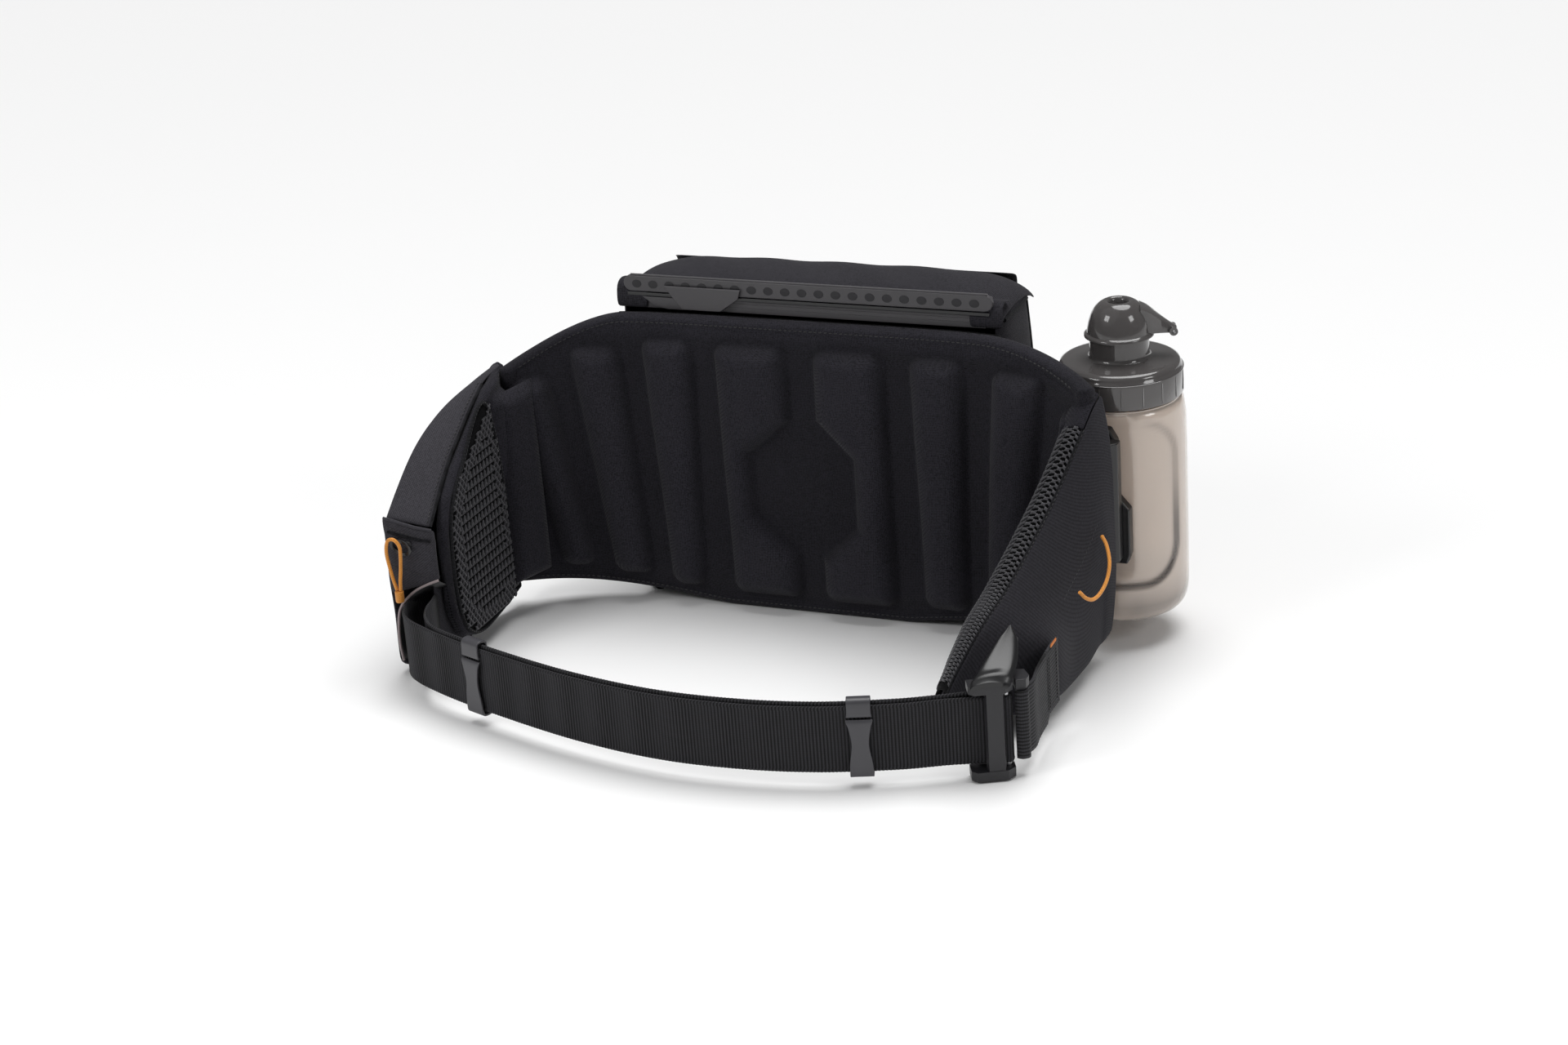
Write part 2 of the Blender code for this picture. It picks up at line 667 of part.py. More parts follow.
LEFT_CORD = [(-209.8, -182.8, 57.8), (-211.4, -182.8, 64), (-213.6, -182.2, 74), (-214.4, -182.0, 82),
             (-212.6, -182.0, 88.8), (-208.6, -181.8, 90.0), (-205.4, -181.4, 86.0),
             (-204.8, -182.4, 80), (-205.6, -182.6, 72), (-206.8, -182.8, 64), (-207.4, -182.8, 57.8)]


# ---------------------------------------------------------------- right wing

RIGHT_TOP = [(179, -77, 150), (170, -96, 122), (161, -120, 98), (152.5, -144, 78), (145.5, -160, 65),
             (138, -171, 48), (130, -179, 28)]
RIGHT_FOOT = [(190, -77, 16), (189, -92, 13), (187, -112, 12), (185, -130, 12), (182, -146, 13),
              (176, -160, 14), (165, -171, 15)]


def make_right_wing():
    """Foam wing, folded in, with its mesh face and the pocket's shell over its outer side."""
    top = smooth_path([Vector(p) for p in RIGHT_TOP], 2)
    foot = smooth_path([Vector(p) for p in RIGHT_FOOT], 2)
    inner_face = []
    outer_face = []
    mesh_near = []
    mesh_far = []
    for i, (p, q) in enumerate(zip(top, foot)):
        step = top[min(i + 1, len(top) - 1)] - top[max(i - 1, 0)]
        side = Vector((-step.y, step.x, 0)).normalized()
        side = side if side.x > 0 else -side
        low = 12.0 + 4.0 * abs(i / (len(top) - 1) - 0.4)
        base = Vector((p.x, p.y, low))
        inner_face.append([base, (base + p) / 2, p])
        thick = 6.0 - 3.5 * (i / (len(top) - 1)) ** 3
        outer_face.append([v + side * thick for v in inner_face[-1]])
        mesh_near.append([base - side * GAP + Vector((0, 0, 3)), p - side * GAP - Vector((0, 0, 3))])
        mesh_far.append([v - side * 2.0 for v in mesh_near[-1]])
    add_object("right_wing_pad", slab(inner_face, outer_face), black_fabric(), origin=RIGHT_PIVOT,
               smooth=40)
    add_object("right_wing_mesh", slab(mesh_near, mesh_far), spacer_mesh(), origin=RIGHT_PIVOT,
               smooth=40)
    skin = []
    for i, (p, q) in enumerate(zip(top, foot)):
        step = top[min(i + 1, len(top) - 1)] - top[max(i - 1, 0)]
        side = Vector((-step.y, step.x, 0)).normalized()
        side = side if side.x > 0 else -side
        start = p + side * 9.4 + Vector((0, 0, 1.5))
        row = []
        for k in range(9):
            f = k / 8
            swell = 10.0 * math.sin(math.pi * f) ** 0.8 * (1.0 - 0.55 * i / (len(top) - 1))
            lift = Vector((0.85, 0.0, 0.45)) * swell
            row.append(start.lerp(q, f) + lift)
        skin.append(row)
    normals = grid_normals(skin)
    sign = -1.0 if normals[4][4].x > 0 else 1.0
    inner = [[p + n * sign * WALL for p, n in zip(row, line)] for row, line in zip(skin, normals)]
    add_object("right_pocket_shell", slab(skin, inner), black_fabric(), origin=RIGHT_PIVOT, smooth=50)


def stub_low(f):
    return 14.0 - 3.0 * f


def stub_high(f):
    return 54.0 - 3.0 * f


STUB_PATH = [(187.5, -146), (187.3, -158), (187.5, -170), (188.2, -184), (188.8, -197.5)]


def make_strap_stub():
    """Webbing sewn to the right wing; it holds the hook of the buckle."""
    path = smooth_path(STUB_PATH, 3)
    add_object("strap_stub", ribbon(path, WEB_THICK, stub_low, stub_high), webbing(),
               origin=RIGHT_PIVOT)


RIGHT_CORD = [(196.6, -84, 90), (200.5, -88, 86), (204, -95, 79), (204.5, -102, 72), (203, -110, 67),
              (201, -118, 66), (198.6, -124, 69), (196, -127.5, 74)]


# ---------------------------------------------------------------- belt and buckle

def back_layer_path():
    """Plan path of the back layer: its own lead out of the sleeve, then beside the front layer."""
    front = [Vector(p) for p in BELT_PATH]
    path = [Vector(p) for p in BACK_LEAD]
    for i in range(BACK_JOINS, len(front)):
        along = (front[min(i + 1, len(front) - 1)] - front[i - 1]).normalized()
        path.append(front[i] + Vector((-along.y, along.x)) * LAYER_PITCH)
    return smooth_path(path, 3)


def make_belt():
    def web_ribbon(path, lift):
        return ribbon(path, WEB_THICK, lambda f: WEB_LOW + lift, lambda f: WEB_LOW + WEB_WIDTH + lift)

    front = web_ribbon(smooth_path(BELT_PATH, 3), 0.0)
    add_object("belt_front_layer", front, webbing(), origin=BELT_PIVOT)
    back = web_ribbon(back_layer_path(), BACK_LAYER_LIFT)
    add_object("belt_back_layer", back, webbing(), origin=BELT_PIVOT)


def buckle_point(s, n, z):
    """Point at s along the belt, n outwards from it and z up, from the buckle's centre."""
    along = Vector((math.cos(BUCKLE_ANGLE), math.sin(BUCKLE_ANGLE), 0))
    out = Vector((math.sin(BUCKLE_ANGLE), -math.cos(BUCKLE_ANGLE), 0))
    return BUCKLE + along * s + out * n + Vector((0, 0, z))


def buckle_prism(outline, low, high):
    """Upright prism with an outline in the buckle's own plan."""
    along = buckle_point(1, 0, 0) - BUCKLE
    out = buckle_point(0, 1, 0) - BUCKLE
    return prism(outline, BUCKLE + Vector((0, 0, high)), along, out, high - low)


def make_buckle():
    plate = [(-14, -5), (9, -5), (10.5, -3), (10.5, 3), (6, 7), (-11, 7), (-14, 4)]
    bottom = buckle_prism(plate, 1.0, 6.6)
    frame = add_object("buckle_frame", bottom, hard_plastic(), origin=BUCKLE)
    upper = add_object("buckle_upper", buckle_prism(plate, 53.0, 57.5), hard_plastic())
    bar = [(-5.5, 3.4), (5.5, 3.4), (4.5, 6.6), (-4.5, 6.6)]
    post = add_object("buckle_post", buckle_prism(bar, 5.0, 55.0), hard_plastic())
    join(frame, post)
    join(frame, upper)
    bevel(frame, 0.6, 2)
    pin = turned([(0, 7.0), (2.2, 7.0), (2.2, 52.6), (0, 52.6)], buckle_point(6.8, -0.9, 0), 16)
    add_object("buckle_fold_pin", pin, steel(), smooth=40)


LEVER_PIVOT_Z = 59.5


def make_buckle_lever():
    """Leaf-shaped thumb lever that rises from the buckle's top plate."""
    rows = []
    under = []
    for i in range(9):
        f = i / 8
        w = -6.5 + 29.5 * f
        left = -13.0 + 24.0 * f ** 1.3
        right = 4.0 + 13.5 * math.sin(f * math.pi / 2) ** 0.8 - 0.5 * f
        rise = LEVER_PIVOT_Z - 1.2 + 17.0 * f ** 1.5
        row = [buckle_point(left + (right - left) * k / 4, -w, rise + 2.2 * math.sin(math.pi * k / 4))
               for k in range(5)]
        rows.append(row)
        under.append([p - Vector((0, 0, 2.2 - 0.6 * f)) for p in row])
    top = [[p + Vector((0, 0, 2.2)) for p in row] for row in rows]
    lever = add_object("buckle_lever", slab(top, [[p + Vector((0, 0, 2.2)) for p in row] for row in under]),
                       hard_plastic(), origin=buckle_point(0, 6.5, LEVER_PIVOT_Z), smooth=50)
    bevel(lever, 0.4, 1)


def make_stub_hook():
    """Hook held in the stub's fold; the buckle's frame hangs on it."""
    centre = buckle_point(15.0, -1.5, 0)
    outline = [(12.6, -4.5), (17.5, -4.5), (17.5, 1.5), (12.6, 1.5)]
    hook = add_object("stub_hook", buckle_prism(outline, 10.0, 54.0), hard_plastic(), origin=centre)
    lug = [(11.2, -9.0), (14.0, -12.5), (19.0, -12.0), (20.5, -4.0), (18.0, 1.5), (12.2, 1.5)]
    cap = add_object("hook_lug", buckle_prism(lug, 52.0, 57.6), hard_plastic())
    join(hook, cap)
    bevel(hook, 0.5, 2)


def belt_frame_at(x):
    """Point on the front layer's outer face and its direction, where the belt passes x."""
    path = smooth_path(BELT_PATH, 6)
    for a, b in zip(path, path[1:]):
        if a.x <= x <= b.x:
            f = (x - a.x) / (b.x - a.x)
            return a.lerp(b, f), (b - a).normalized()
    return path[-1], Vector((1, 0))


def make_keeper(name, x):
    """Spring clip around both layers of webbing."""
    point, along = belt_frame_at(x)
    direction = Vector((along.x, along.y, 0))
    out = Vector((along.y, -along.x, 0))
    inner = -2 * WEB_THICK - 1.6
    low = WEB_LOW - 0.8
    high = WEB_LOW + WEB_WIDTH + BACK_LAYER_LIFT + 0.8
    outline = [(0.8, 41.0), (2.6, 42.0), (2.2, low + 2), (1.9, low - 1.2), (inner - 1.2, low - 1.2),
               (inner - 1.2, high + 1.2), (0.4, high + 1.2), (0.4, high), (inner, high), (inner, low),
               (0.8, low)]
    start = Vector((point.x, point.y, 0)) - direction * (KEEPER_WIDTH / 2)
    body = prism(outline, start, out, (0, 0, 1), KEEPER_WIDTH)
    if out.cross(Vector((0, 0, 1))).dot(direction) < 0:
        body.free()
        body = prism(outline, start + direction * KEEPER_WIDTH, out, (0, 0, 1), KEEPER_WIDTH)
    bevel(add_object(name, body, hard_plastic(), origin=(point.x, point.y, 30)), 0.35, 1)


# ---------------------------------------------------------------- bottle

def recess_depth(z):
    """How much of the recess is formed at height z, from 0 to 1."""
    rise = (z - RECESS_LOW) / 8.0
    fall = (RECESS_HIGH - z) / 8.0
    return max(0.0, min(1.0, rise, fall))


def bottle_radius(turn, radius, z, floor):
    """Radius at an angle, flattened on the side of the base (-Y)."""
    lean = math.cos(turn + math.pi / 2)
    if lean < 0.5:
        return radius
    flat = floor / lean
    return radius + (min(radius, flat) - radius) * recess_depth(z)


def make_bottle():
    segments = 32
    outer = [(0, BOTTLE_LOW + 1.5), (26, BOTTLE_LOW), (33, BOTTLE_LOW + 2.5), (37, BOTTLE_LOW + 9),
             (BOTTLE_RADIUS, BOTTLE_LOW + 20), (BOTTLE_RADIUS, 47.5), (BOTTLE_RADIUS, 52),
             (BOTTLE_RADIUS, 56), (BOTTLE_RADIUS, 90), (BOTTLE_RADIUS, 130), (37.0, 140),
             (36.3, 144), (35.8, 149.8), (32.6, 150.0), (32.6, 165.0)]
    inner = [(31.0, 165.0), (31.0, 148.0), (33.6, 144.0), (35.4, 138), (36.2, 130), (36.2, 90),
             (36.2, 56), (36.2, 52), (36.2, 47.5), (36.2, BOTTLE_LOW + 20), (34, BOTTLE_LOW + 9.5),
             (30, BOTTLE_LOW + 4.5), (0, BOTTLE_LOW + 3.2)]
    bm = bmesh.new()
    rings = []
    for index, (radius, z) in enumerate(outer + inner):
        if radius == 0:
            rings.append([bm.verts.new(BOTTLE + Vector((0, 0, z)))])
            continue
        floor = RECESS_FLAT if index < len(outer) else RECESS_FLAT - BOTTLE_WALL
        ring = []
        for k in range(segments):
            turn = 2 * math.pi * k / segments
            r = bottle_radius(turn, radius, z, floor) if z < 145 else radius
            ring.append(bm.verts.new(BOTTLE + Vector((r * math.cos(turn), r * math.sin(turn), z))))
        rings.append(ring)
    for low, high in zip(rings, rings[1:]):
        for k in range(segments):
            nxt = (k + 1) % segments
            if len(low) == 1:
                bm.faces.new((low[0], high[nxt], high[k]))
            elif len(high) == 1:
                bm.faces.new((low[k], low[nxt], high[0]))
            else:
                bm.faces.new((low[k], low[nxt], high[nxt], high[k]))
    add_object("bottle_body", bm, clear_plastic(), origin=BOTTLE, smooth=35)


def make_bottle_mount():
    """Base on the back of the panel and the bottle's own connector plate."""
    plan = [(177.5, -50.0), (199, -50.0), (199, -57), (193.5, -63.2), (177.5, -52.2)]
    base = prism(plan, (0, 0, 62), (1, 0, 0), (0, 1, 0), 74)
    bevel(add_object("bottle_base", base, hard_plastic(), origin=(188, -56, 99)), 0.8)
    face_y = BOTTLE.y - RECESS_FLAT - GAP
    steps = [(175, 58), (201, 58), (203, 64), (203, 92), (196, 100), (196, 134), (192, 141),
             (182, 141), (178, 134), (178, 100), (173, 92), (173, 64)]
    plate = prism(steps, (0, face_y, 0), (1, 0, 0), (0, 0, 1), face_y - (-50.0 + GAP))
    bevel(add_object("bottle_connector", plate, hard_plastic(), origin=(188, face_y, 99)), 0.8)


def make_cap():
    profile = [(33.6, CAP_LOW + 3), (34.6, CAP_LOW + 1), (35.6, CAP_LOW), (CAP_RADIUS, CAP_LOW + 1),
               (CAP_RADIUS, CAP_TOP - 4), (35.4, CAP_TOP - 1.2), (33.5, CAP_TOP), (17.6, CAP_TOP + 0.3),
               (17.4, 184.5), (14.6, 184.5), (14.6, CAP_TOP - 3.0), (33.6, CAP_TOP - 4)]
    cap = turned(profile, BOTTLE, 40)
    cap_obj = add_object("bottle_cap", cap, smoke_plastic(), origin=BOTTLE + Vector((0, 0, CAP_LOW)),
                         smooth=35)
    along = Vector((math.cos(LID_ANGLE), math.sin(LID_ANGLE), 0))
    across = Vector((-math.sin(LID_ANGLE), math.cos(LID_ANGLE), 0))
    ear = [(27.5, CAP_TOP - 2), (33.5, CAP_TOP - 2), (34.0, 186), (31, 190), (28.4, 187)]
    start = BOTTLE + across * 3.0
    lug = add_object("hinge_ear", prism(ear, start, along, (0, 0, 1), 2.4), smoke_plastic())
    join(cap_obj, lug)
    gasket = turned([(31.4, 165.4), (33.2, 165.4), (33.2, 166.6), (31.4, 166.6)], BOTTLE, 40)
    add_object("cap_gasket", gasket, rubber(), smooth=40)
    cut(cap_obj, add_object("ear_bore", hinge_rod(1.35, -1.0, 5.0), smoke_plastic()))


def make_spout():
    """Push-pull mouthpiece inside the neck."""
    profile = [(3.0, 176), (13.8, 176), (13.8, 178), (9.0, 179.5), (8.0, 191.8), (6.4, 193.2), (3.0, 193.2)]
    add_object("spout_valve", turned(profile, BOTTLE, 28), rubber(), origin=BOTTLE + Vector((0, 0, 176)),
               smooth=40)
    stem = turned([(0, 168.9), (5.0, 168.9), (14.0, 168.9), (14.0, 171.5), (2.4, 171.5), (2.4, 180.0),
                   (0, 180.0)], BOTTLE, 28)
    add_object("spout_seat", stem, smoke_plastic(), smooth=40)


def hinge_rod(radius, start, end):
    """Rod along the lid's hinge axis, between two distances from the arm's side."""
    rod = turned([(0, start), (radius, start), (radius, end), (0, end)], (0, 0, 0), 12, axis="Y")
    bmesh.ops.rotate(rod, matrix=Matrix.Rotation(LID_ANGLE, 3, "Z"), verts=rod.verts)
    bmesh.ops.translate(rod, vec=lid_pivot(), verts=rod.verts)
    return rod


def make_lid():
    """Domed splash lid with the arm that reaches its hinge on the cap."""
    dome = [(5.2, 199.5), (6.0, 205.5), (8.2, 206.0), (12.5, 203.8), (16.6, 197.5), (19.0, 189.5),
            (20.3, 186.2), (20.3, 185.2), (17.9, 185.2), (15.0, 195.5), (10.8, 201.2), (8.9, 201.9)]
    cover = turned(dome, BOTTLE, 36)
    lid = add_object("flip_lid", cover, smoke_plastic(), origin=lid_pivot(), smooth=40)
    along = Vector((math.cos(LID_ANGLE), math.sin(LID_ANGLE), 0))
    across = Vector((-math.sin(LID_ANGLE), math.cos(LID_ANGLE), 0))
    outline = [(12.8, 203.2), (29.5, 190.6), (33.2, 188.6), (33.2, 186.0), (31.0, 184.4), (19.8, 185.3),
               (18.2, 189.0)]
    arm = add_object("lid_arm", prism(outline, BOTTLE + across * 0.2, along, (0, 0, 1), 6.0),
                     smoke_plastic())
    join(lid, arm)
    cut(lid, add_object("arm_bore", hinge_rod(1.35, -8.0, 1.0), smoke_plastic()))
    add_object("lid_hinge_pin", hinge_rod(1.0, -5.6, 2.8), steel(), smooth=40)


def lid_pivot():
    along = Vector((math.cos(LID_ANGLE), math.sin(LID_ANGLE), 0))
    return BOTTLE + along * LID_REACH + Vector((0, 0, LID_PIVOT_Z))


def build():
    clear_scene()
    make_back_panel()
    make_main_compartment()
    make_front_pocket()
    make_zip_slider()
    make_closure_strip()
    make_fixed_rail()
    make_sliding_rail()
    make_hood()
    make_left_wing()
    make_left_pocket()
    make_left_sleeve()
    make_left_zip_pull()
    make_right_wing()
    make_strap_stub()
    cord("right_finger_loop", RIGHT_CORD, 1.1, orange_cord())
    make_belt()
    make_buckle()
    make_buckle_lever()
    make_stub_hook()
    make_keeper("keeper_left", -138.0)
    make_keeper("keeper_right", 107.0)
    make_bottle()
    make_bottle_mount()
    make_cap()
    make_spout()
    make_lid()


build()
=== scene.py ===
"""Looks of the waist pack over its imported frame: moulded foam panel, sewn wings, ribbed webbing,
satin plastic parts and the translucent bottle. Lengths are in millimetres unless a name says metres."""
import math
import random

import bmesh
import bpy
import numpy as np
from mathutils import Matrix, Vector


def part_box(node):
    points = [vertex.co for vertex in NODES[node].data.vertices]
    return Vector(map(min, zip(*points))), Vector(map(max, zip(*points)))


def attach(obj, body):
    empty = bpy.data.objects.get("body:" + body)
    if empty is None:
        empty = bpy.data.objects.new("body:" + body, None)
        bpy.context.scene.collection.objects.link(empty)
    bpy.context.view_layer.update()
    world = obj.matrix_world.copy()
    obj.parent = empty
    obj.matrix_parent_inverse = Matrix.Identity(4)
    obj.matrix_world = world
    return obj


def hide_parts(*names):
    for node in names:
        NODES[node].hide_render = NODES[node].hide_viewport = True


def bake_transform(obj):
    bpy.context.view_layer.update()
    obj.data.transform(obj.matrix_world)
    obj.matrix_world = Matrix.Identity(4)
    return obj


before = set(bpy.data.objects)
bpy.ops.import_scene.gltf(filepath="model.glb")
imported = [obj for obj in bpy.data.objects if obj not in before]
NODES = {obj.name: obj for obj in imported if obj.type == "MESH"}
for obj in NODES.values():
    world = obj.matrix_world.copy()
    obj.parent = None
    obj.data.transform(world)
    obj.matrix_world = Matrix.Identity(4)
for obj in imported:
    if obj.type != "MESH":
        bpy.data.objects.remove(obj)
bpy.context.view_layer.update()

MM = 0.001
random.seed(7)

# Dimensions shared with the solids
PANEL_HALF = 184.0
PANEL_Y = -39.0
PANEL_CURL = 31.0
CURL_X = 181.0
PANEL_THICK = 11.0
PANEL_TOP = 189.0
TOP_FLAT = 115.0
BODY_HALF = 122.0
BODY_Y = 45.0
BODY_TOP = 197.0
WING_X = -183.0
PAD_THICK = 8.0
WEB_LOW = 9.0
BACK_LIFT = 2.0
BUCKLE = Vector((173.0, -215.0, 0.0))
BUCKLE_ANGLE = math.radians(26.5)
BOTTLE = Vector((188.0, -10.0, 0.0))


# ---------------------------------------------------------------- camera, light and floor

def make_camera():
    """Camera on the wearer's side, a little to the right and above, with a slight roll."""
    azimuth = math.radians(24.0)
    elevation = math.radians(22.5)
    roll = math.radians(-4.4)
    distance = 1.7
    sensor = 36.0
    frame_width = 1920
    pixels_per_mm = 2.09
    shift_pixels = 22
    target = Vector((0.0, -0.108, 0.090))
    right = Vector((math.cos(azimuth), math.sin(azimuth), 0))
    up = Vector((-math.sin(azimuth) * math.sin(elevation), math.cos(azimuth) * math.sin(elevation),
                 math.cos(elevation)))
    forward = Vector((-math.sin(azimuth) * math.cos(elevation), math.cos(azimuth) * math.cos(elevation),
                      -math.sin(elevation)))
    rolled_right = right * math.cos(roll) + up * math.sin(roll)
    rolled_up = up * math.cos(roll) - right * math.sin(roll)
    data = bpy.data.cameras.new("camera")
    data.sensor_width = sensor
    data.lens = sensor * pixels_per_mm * distance / MM / frame_width
    data.shift_x = shift_pixels / frame_width
    data.clip_end = 20
    obj = bpy.data.objects.new("camera", data)
    turn = Matrix((rolled_right, rolled_up, -forward)).transposed().to_4x4()
    obj.matrix_world = Matrix.Translation(target - forward * distance) @ turn
    bpy.context.scene.collection.objects.link(obj)
    bpy.context.scene.camera = obj


def add_light(name, kind, place, aim, energy):
    """Lamp at place that shines towards aim; its data is returned for its spread or size."""
    data = bpy.data.lights.new(name, kind)
    data.energy = energy
    obj = bpy.data.objects.new(name, data)
    obj.location = place
    obj.rotation_euler = (Vector(aim) - Vector(place)).to_track_quat("-Z", "Y").to_euler()
    bpy.context.scene.collection.objects.link(obj)
    return data


def make_studio():
    """Pale floor, white surroundings and large soft lights."""
    world = bpy.data.worlds.new("surroundings")
    world.use_nodes = True
    background = world.node_tree.nodes["Background"].inputs
    background["Color"].default_value = (1.0, 1.0, 1.0, 1.0)
    background["Strength"].default_value = 0.17
    bpy.context.scene.world = world
    bpy.context.scene.view_settings.view_transform = "Standard"
    for name, place, degrees, energy in (("fill_light", (-0.8, -1.0, 1.5), 70.0, 0.2),
                                         ("top_light", (0.12, 0.42, 1.6), 45.0, 2.45)):
        add_light(name, "SUN", place, (0, 0, 0), energy).angle = math.radians(degrees)
    for name, place, aim, size, energy in (("key_light", (-0.75, -1.15, 1.15), (0.05, -0.1, 0.1), 0.55, 5.5),
                                           ("side_light", (1.35, -0.35, 0.9), (0.15, -0.05, 0.1), 0.4, 3.0)):
        add_light(name, "AREA", place, aim, energy).size = size
    floor = bpy.data.meshes.new("floor")
    half = 6.0
    below_base = -0.0002
    floor.from_pydata([(x * half, y * half, below_base) for x, y in ((-1, -1), (1, -1), (1, 1), (-1, 1))],
                      [], [(0, 1, 2, 3)])
    obj = bpy.data.objects.new("floor", floor)
    obj.data.materials.append(Shader("floor_white", (0.93, 0.93, 0.93), 0.9).mat)
    bpy.context.scene.collection.objects.link(obj)


# ---------------------------------------------------------------- materials

class Shader:
    """A Principled material and short calls for the nodes that feed it."""

    def __init__(self, name, colour, roughness, **sockets):
        self.mat = bpy.data.materials.new(name)
        self.mat.use_nodes = True
        self.tree = self.mat.node_tree
        self.shader = self.tree.nodes["Principled BSDF"]
        self.shader.inputs["Base Color"].default_value = (*colour, 1.0)
        self.shader.inputs["Roughness"].default_value = roughness
        for key, value in sockets.items():
            self.shader.inputs[key.replace("_", " ")].default_value = value

    def node(self, kind, **settings):
        made = self.tree.nodes.new(kind)
        for key, value in settings.items():
            setattr(made, key, value)
        return made

    def feed(self, socket, value):
        if hasattr(value, "is_output"):
            self.tree.links.new(value, socket)
        else:
            socket.default_value = value

    def math(self, operation, a, b=0.0, clamp=False):
        made = self.node("ShaderNodeMath", operation=operation, use_clamp=clamp)
        self.feed(made.inputs[0], a)
        self.feed(made.inputs[1], b)
        return made.outputs[0]

    def add(self, a, b, clamp=False):
        return self.math("ADD", a, b, clamp)

    def mul(self, a, b):
        return self.math("MULTIPLY", a, b)

    def place(self, kind):
        return self.node("ShaderNodeTexCoord").outputs[kind]

    def across(self, kind, scale):
        """The coordinates, in units of 1/scale metres, as separate sockets."""
        scaled = self.node("ShaderNodeVectorMath", operation="SCALE")
        self.feed(scaled.inputs[0], self.place(kind))
        scaled.inputs["Scale"].default_value = scale
        split = self.node("ShaderNodeSeparateXYZ")
        self.feed(split.inputs[0], scaled.outputs[0])
        return split.outputs[0], split.outputs[1], split.outputs[2]

    def noise(self, scale, detail=2.0, stretch=(1, 1, 1)):
        spread = self.node("ShaderNodeMapping")
        self.feed(spread.inputs["Vector"], self.place("Object"))
        spread.inputs["Scale"].default_value = stretch
        made = self.node("ShaderNodeTexNoise")
        self.feed(made.inputs["Vector"], spread.outputs[0])
        made.inputs["Scale"].default_value = scale
        made.inputs["Detail"].default_value = detail
        return made.outputs["Fac"]

    def ridge(self, value):
        """0 at whole numbers, 1 halfway between them."""
        return self.math("ABSOLUTE", self.math("SINE", self.mul(value, math.pi)))

    def blend(self, factor, a, b):
        made = self.node("ShaderNodeMix", data_type="RGBA")
        self.feed(made.inputs["Factor"], factor)
        for socket, colour in ((made.inputs["A"], a), (made.inputs["B"], b)):
            self.feed(socket, colour if hasattr(colour, "is_output") else (*colour, 1.0))
        return made.outputs["Result"]

    def colour(self, value):
        self.feed(self.shader.inputs["Base Color"], value)

    def rough(self, value, low, high):
        made = self.node("ShaderNodeMapRange")
        self.feed(made.inputs["Value"], value)
        made.inputs["To Min"].default_value = low
        made.inputs["To Max"].default_value = high
        self.feed(self.shader.inputs["Roughness"], made.outputs[0])

    def bump(self, height, metres, strength=1.0):
        made = self.node("ShaderNodeBump")
        made.inputs["Distance"].default_value = metres
        made.inputs["Strength"].default_value = strength
        self.feed(made.inputs["Height"], height)
        self.feed(self.shader.inputs["Normal"], made.outputs[0])


def shade(colour, factor):
    return tuple(c * factor for c in colour)


def woven(name, colour, pitch, relief, sheen=0.3, twill=False, fleck=1.5, crest=False):
    """Plain or twill weave laid along a piece's own UV, which is in metres.

    With crest, the mesh attribute 'crest' paints light on the tops of moulded pads and paints shade into the
    grooves between them.
    """
    s = Shader(name, colour, 0.88, Sheen_Weight=sheen * 0.2, Sheen_Roughness=0.45, Specular_IOR_Level=0.12)
    u, v, _ = s.across("UV", 1.0 / (pitch * MM))
    if twill:
        over = s.ridge(s.mul(s.add(u, v), 0.5))
        height = s.mul(over, s.ridge(v))
    else:
        over = s.math("MODULO", s.add(s.math("FLOOR", u), s.math("FLOOR", v)), 2.0)
        height = s.add(s.mul(over, s.ridge(u)), s.mul(s.math("SUBTRACT", 1.0, over), s.ridge(v)))
    grain = s.noise(850.0, 3.0)
    mixed = s.add(s.mul(height, 0.45), s.mul(grain, 0.75))
    patches = s.noise(22.0, 3.0)
    spread = s.mul(s.math("SUBTRACT", mixed, 0.42), 2.2)
    tone = s.add(spread, s.mul(patches, 0.3), clamp=True)
    low_colour = shade(colour, 0.7 if twill else 0.25)
    high_colour = shade(colour, fleck)
    if crest:
        # Painted light and shade: 'crest' lightens the knit on the pad tops and darkens it in the grooves
        # between pads.
        crest_light_and_shade = s.node("ShaderNodeAttribute", attribute_name="crest").outputs["Fac"]
        low_colour = s.blend(crest_light_and_shade, shade(low_colour, 0.8), shade(low_colour, 1.1))
        high_colour = s.blend(crest_light_and_shade, shade(high_colour, 0.8), shade(high_colour, 1.1))
    s.colour(s.blend(tone, low_colour, high_colour))
    s.rough(grain, 0.78, 0.96)
    s.bump(mixed, relief * MM)
    return s.mat


def ribbed(name, colour, pitch):
    """Webbing: ribs across the strap, each one a column of small stitches."""
    s = Shader(name, colour, 0.75, Sheen_Weight=0.05, Specular_IOR_Level=0.25)
    u, v, _ = s.across("UV", 1.0 / (pitch * MM))
    rib = s.math("POWER", s.ridge(u), 2.6)
    knots = s.ridge(s.add(s.mul(v, 1.9), s.math("FLOOR", u)))
    height = s.mul(s.math("POWER", rib, 0.6), s.add(0.7, s.mul(knots, 0.3)))
    wear = s.noise(120.0, 3.0)
    tone = s.add(s.mul(height, 1.1), s.mul(s.math("SUBTRACT", wear, 0.5), 0.4), clamp=True)
    s.colour(s.blend(tone, shade(colour, 0.02), shade(colour, 3.2)))
    s.rough(wear, 0.62, 0.85)
    s.bump(height, 0.25 * MM)
    return s.mat


def yarn_mat(name, colour):
    """Twisted yarn of the spacer mesh."""
    s = Shader(name, colour, 0.6, Sheen_Weight=0.3, Specular_IOR_Level=0.4)
    fibres = s.noise(900.0, 2.0, (1, 1, 3))
    s.colour(s.blend(fibres, shade(colour, 0.5), shade(colour, 1.6)))
    s.rough(fibres, 0.5, 0.8)
    s.bump(fibres, 0.1 * MM)
    return s.mat


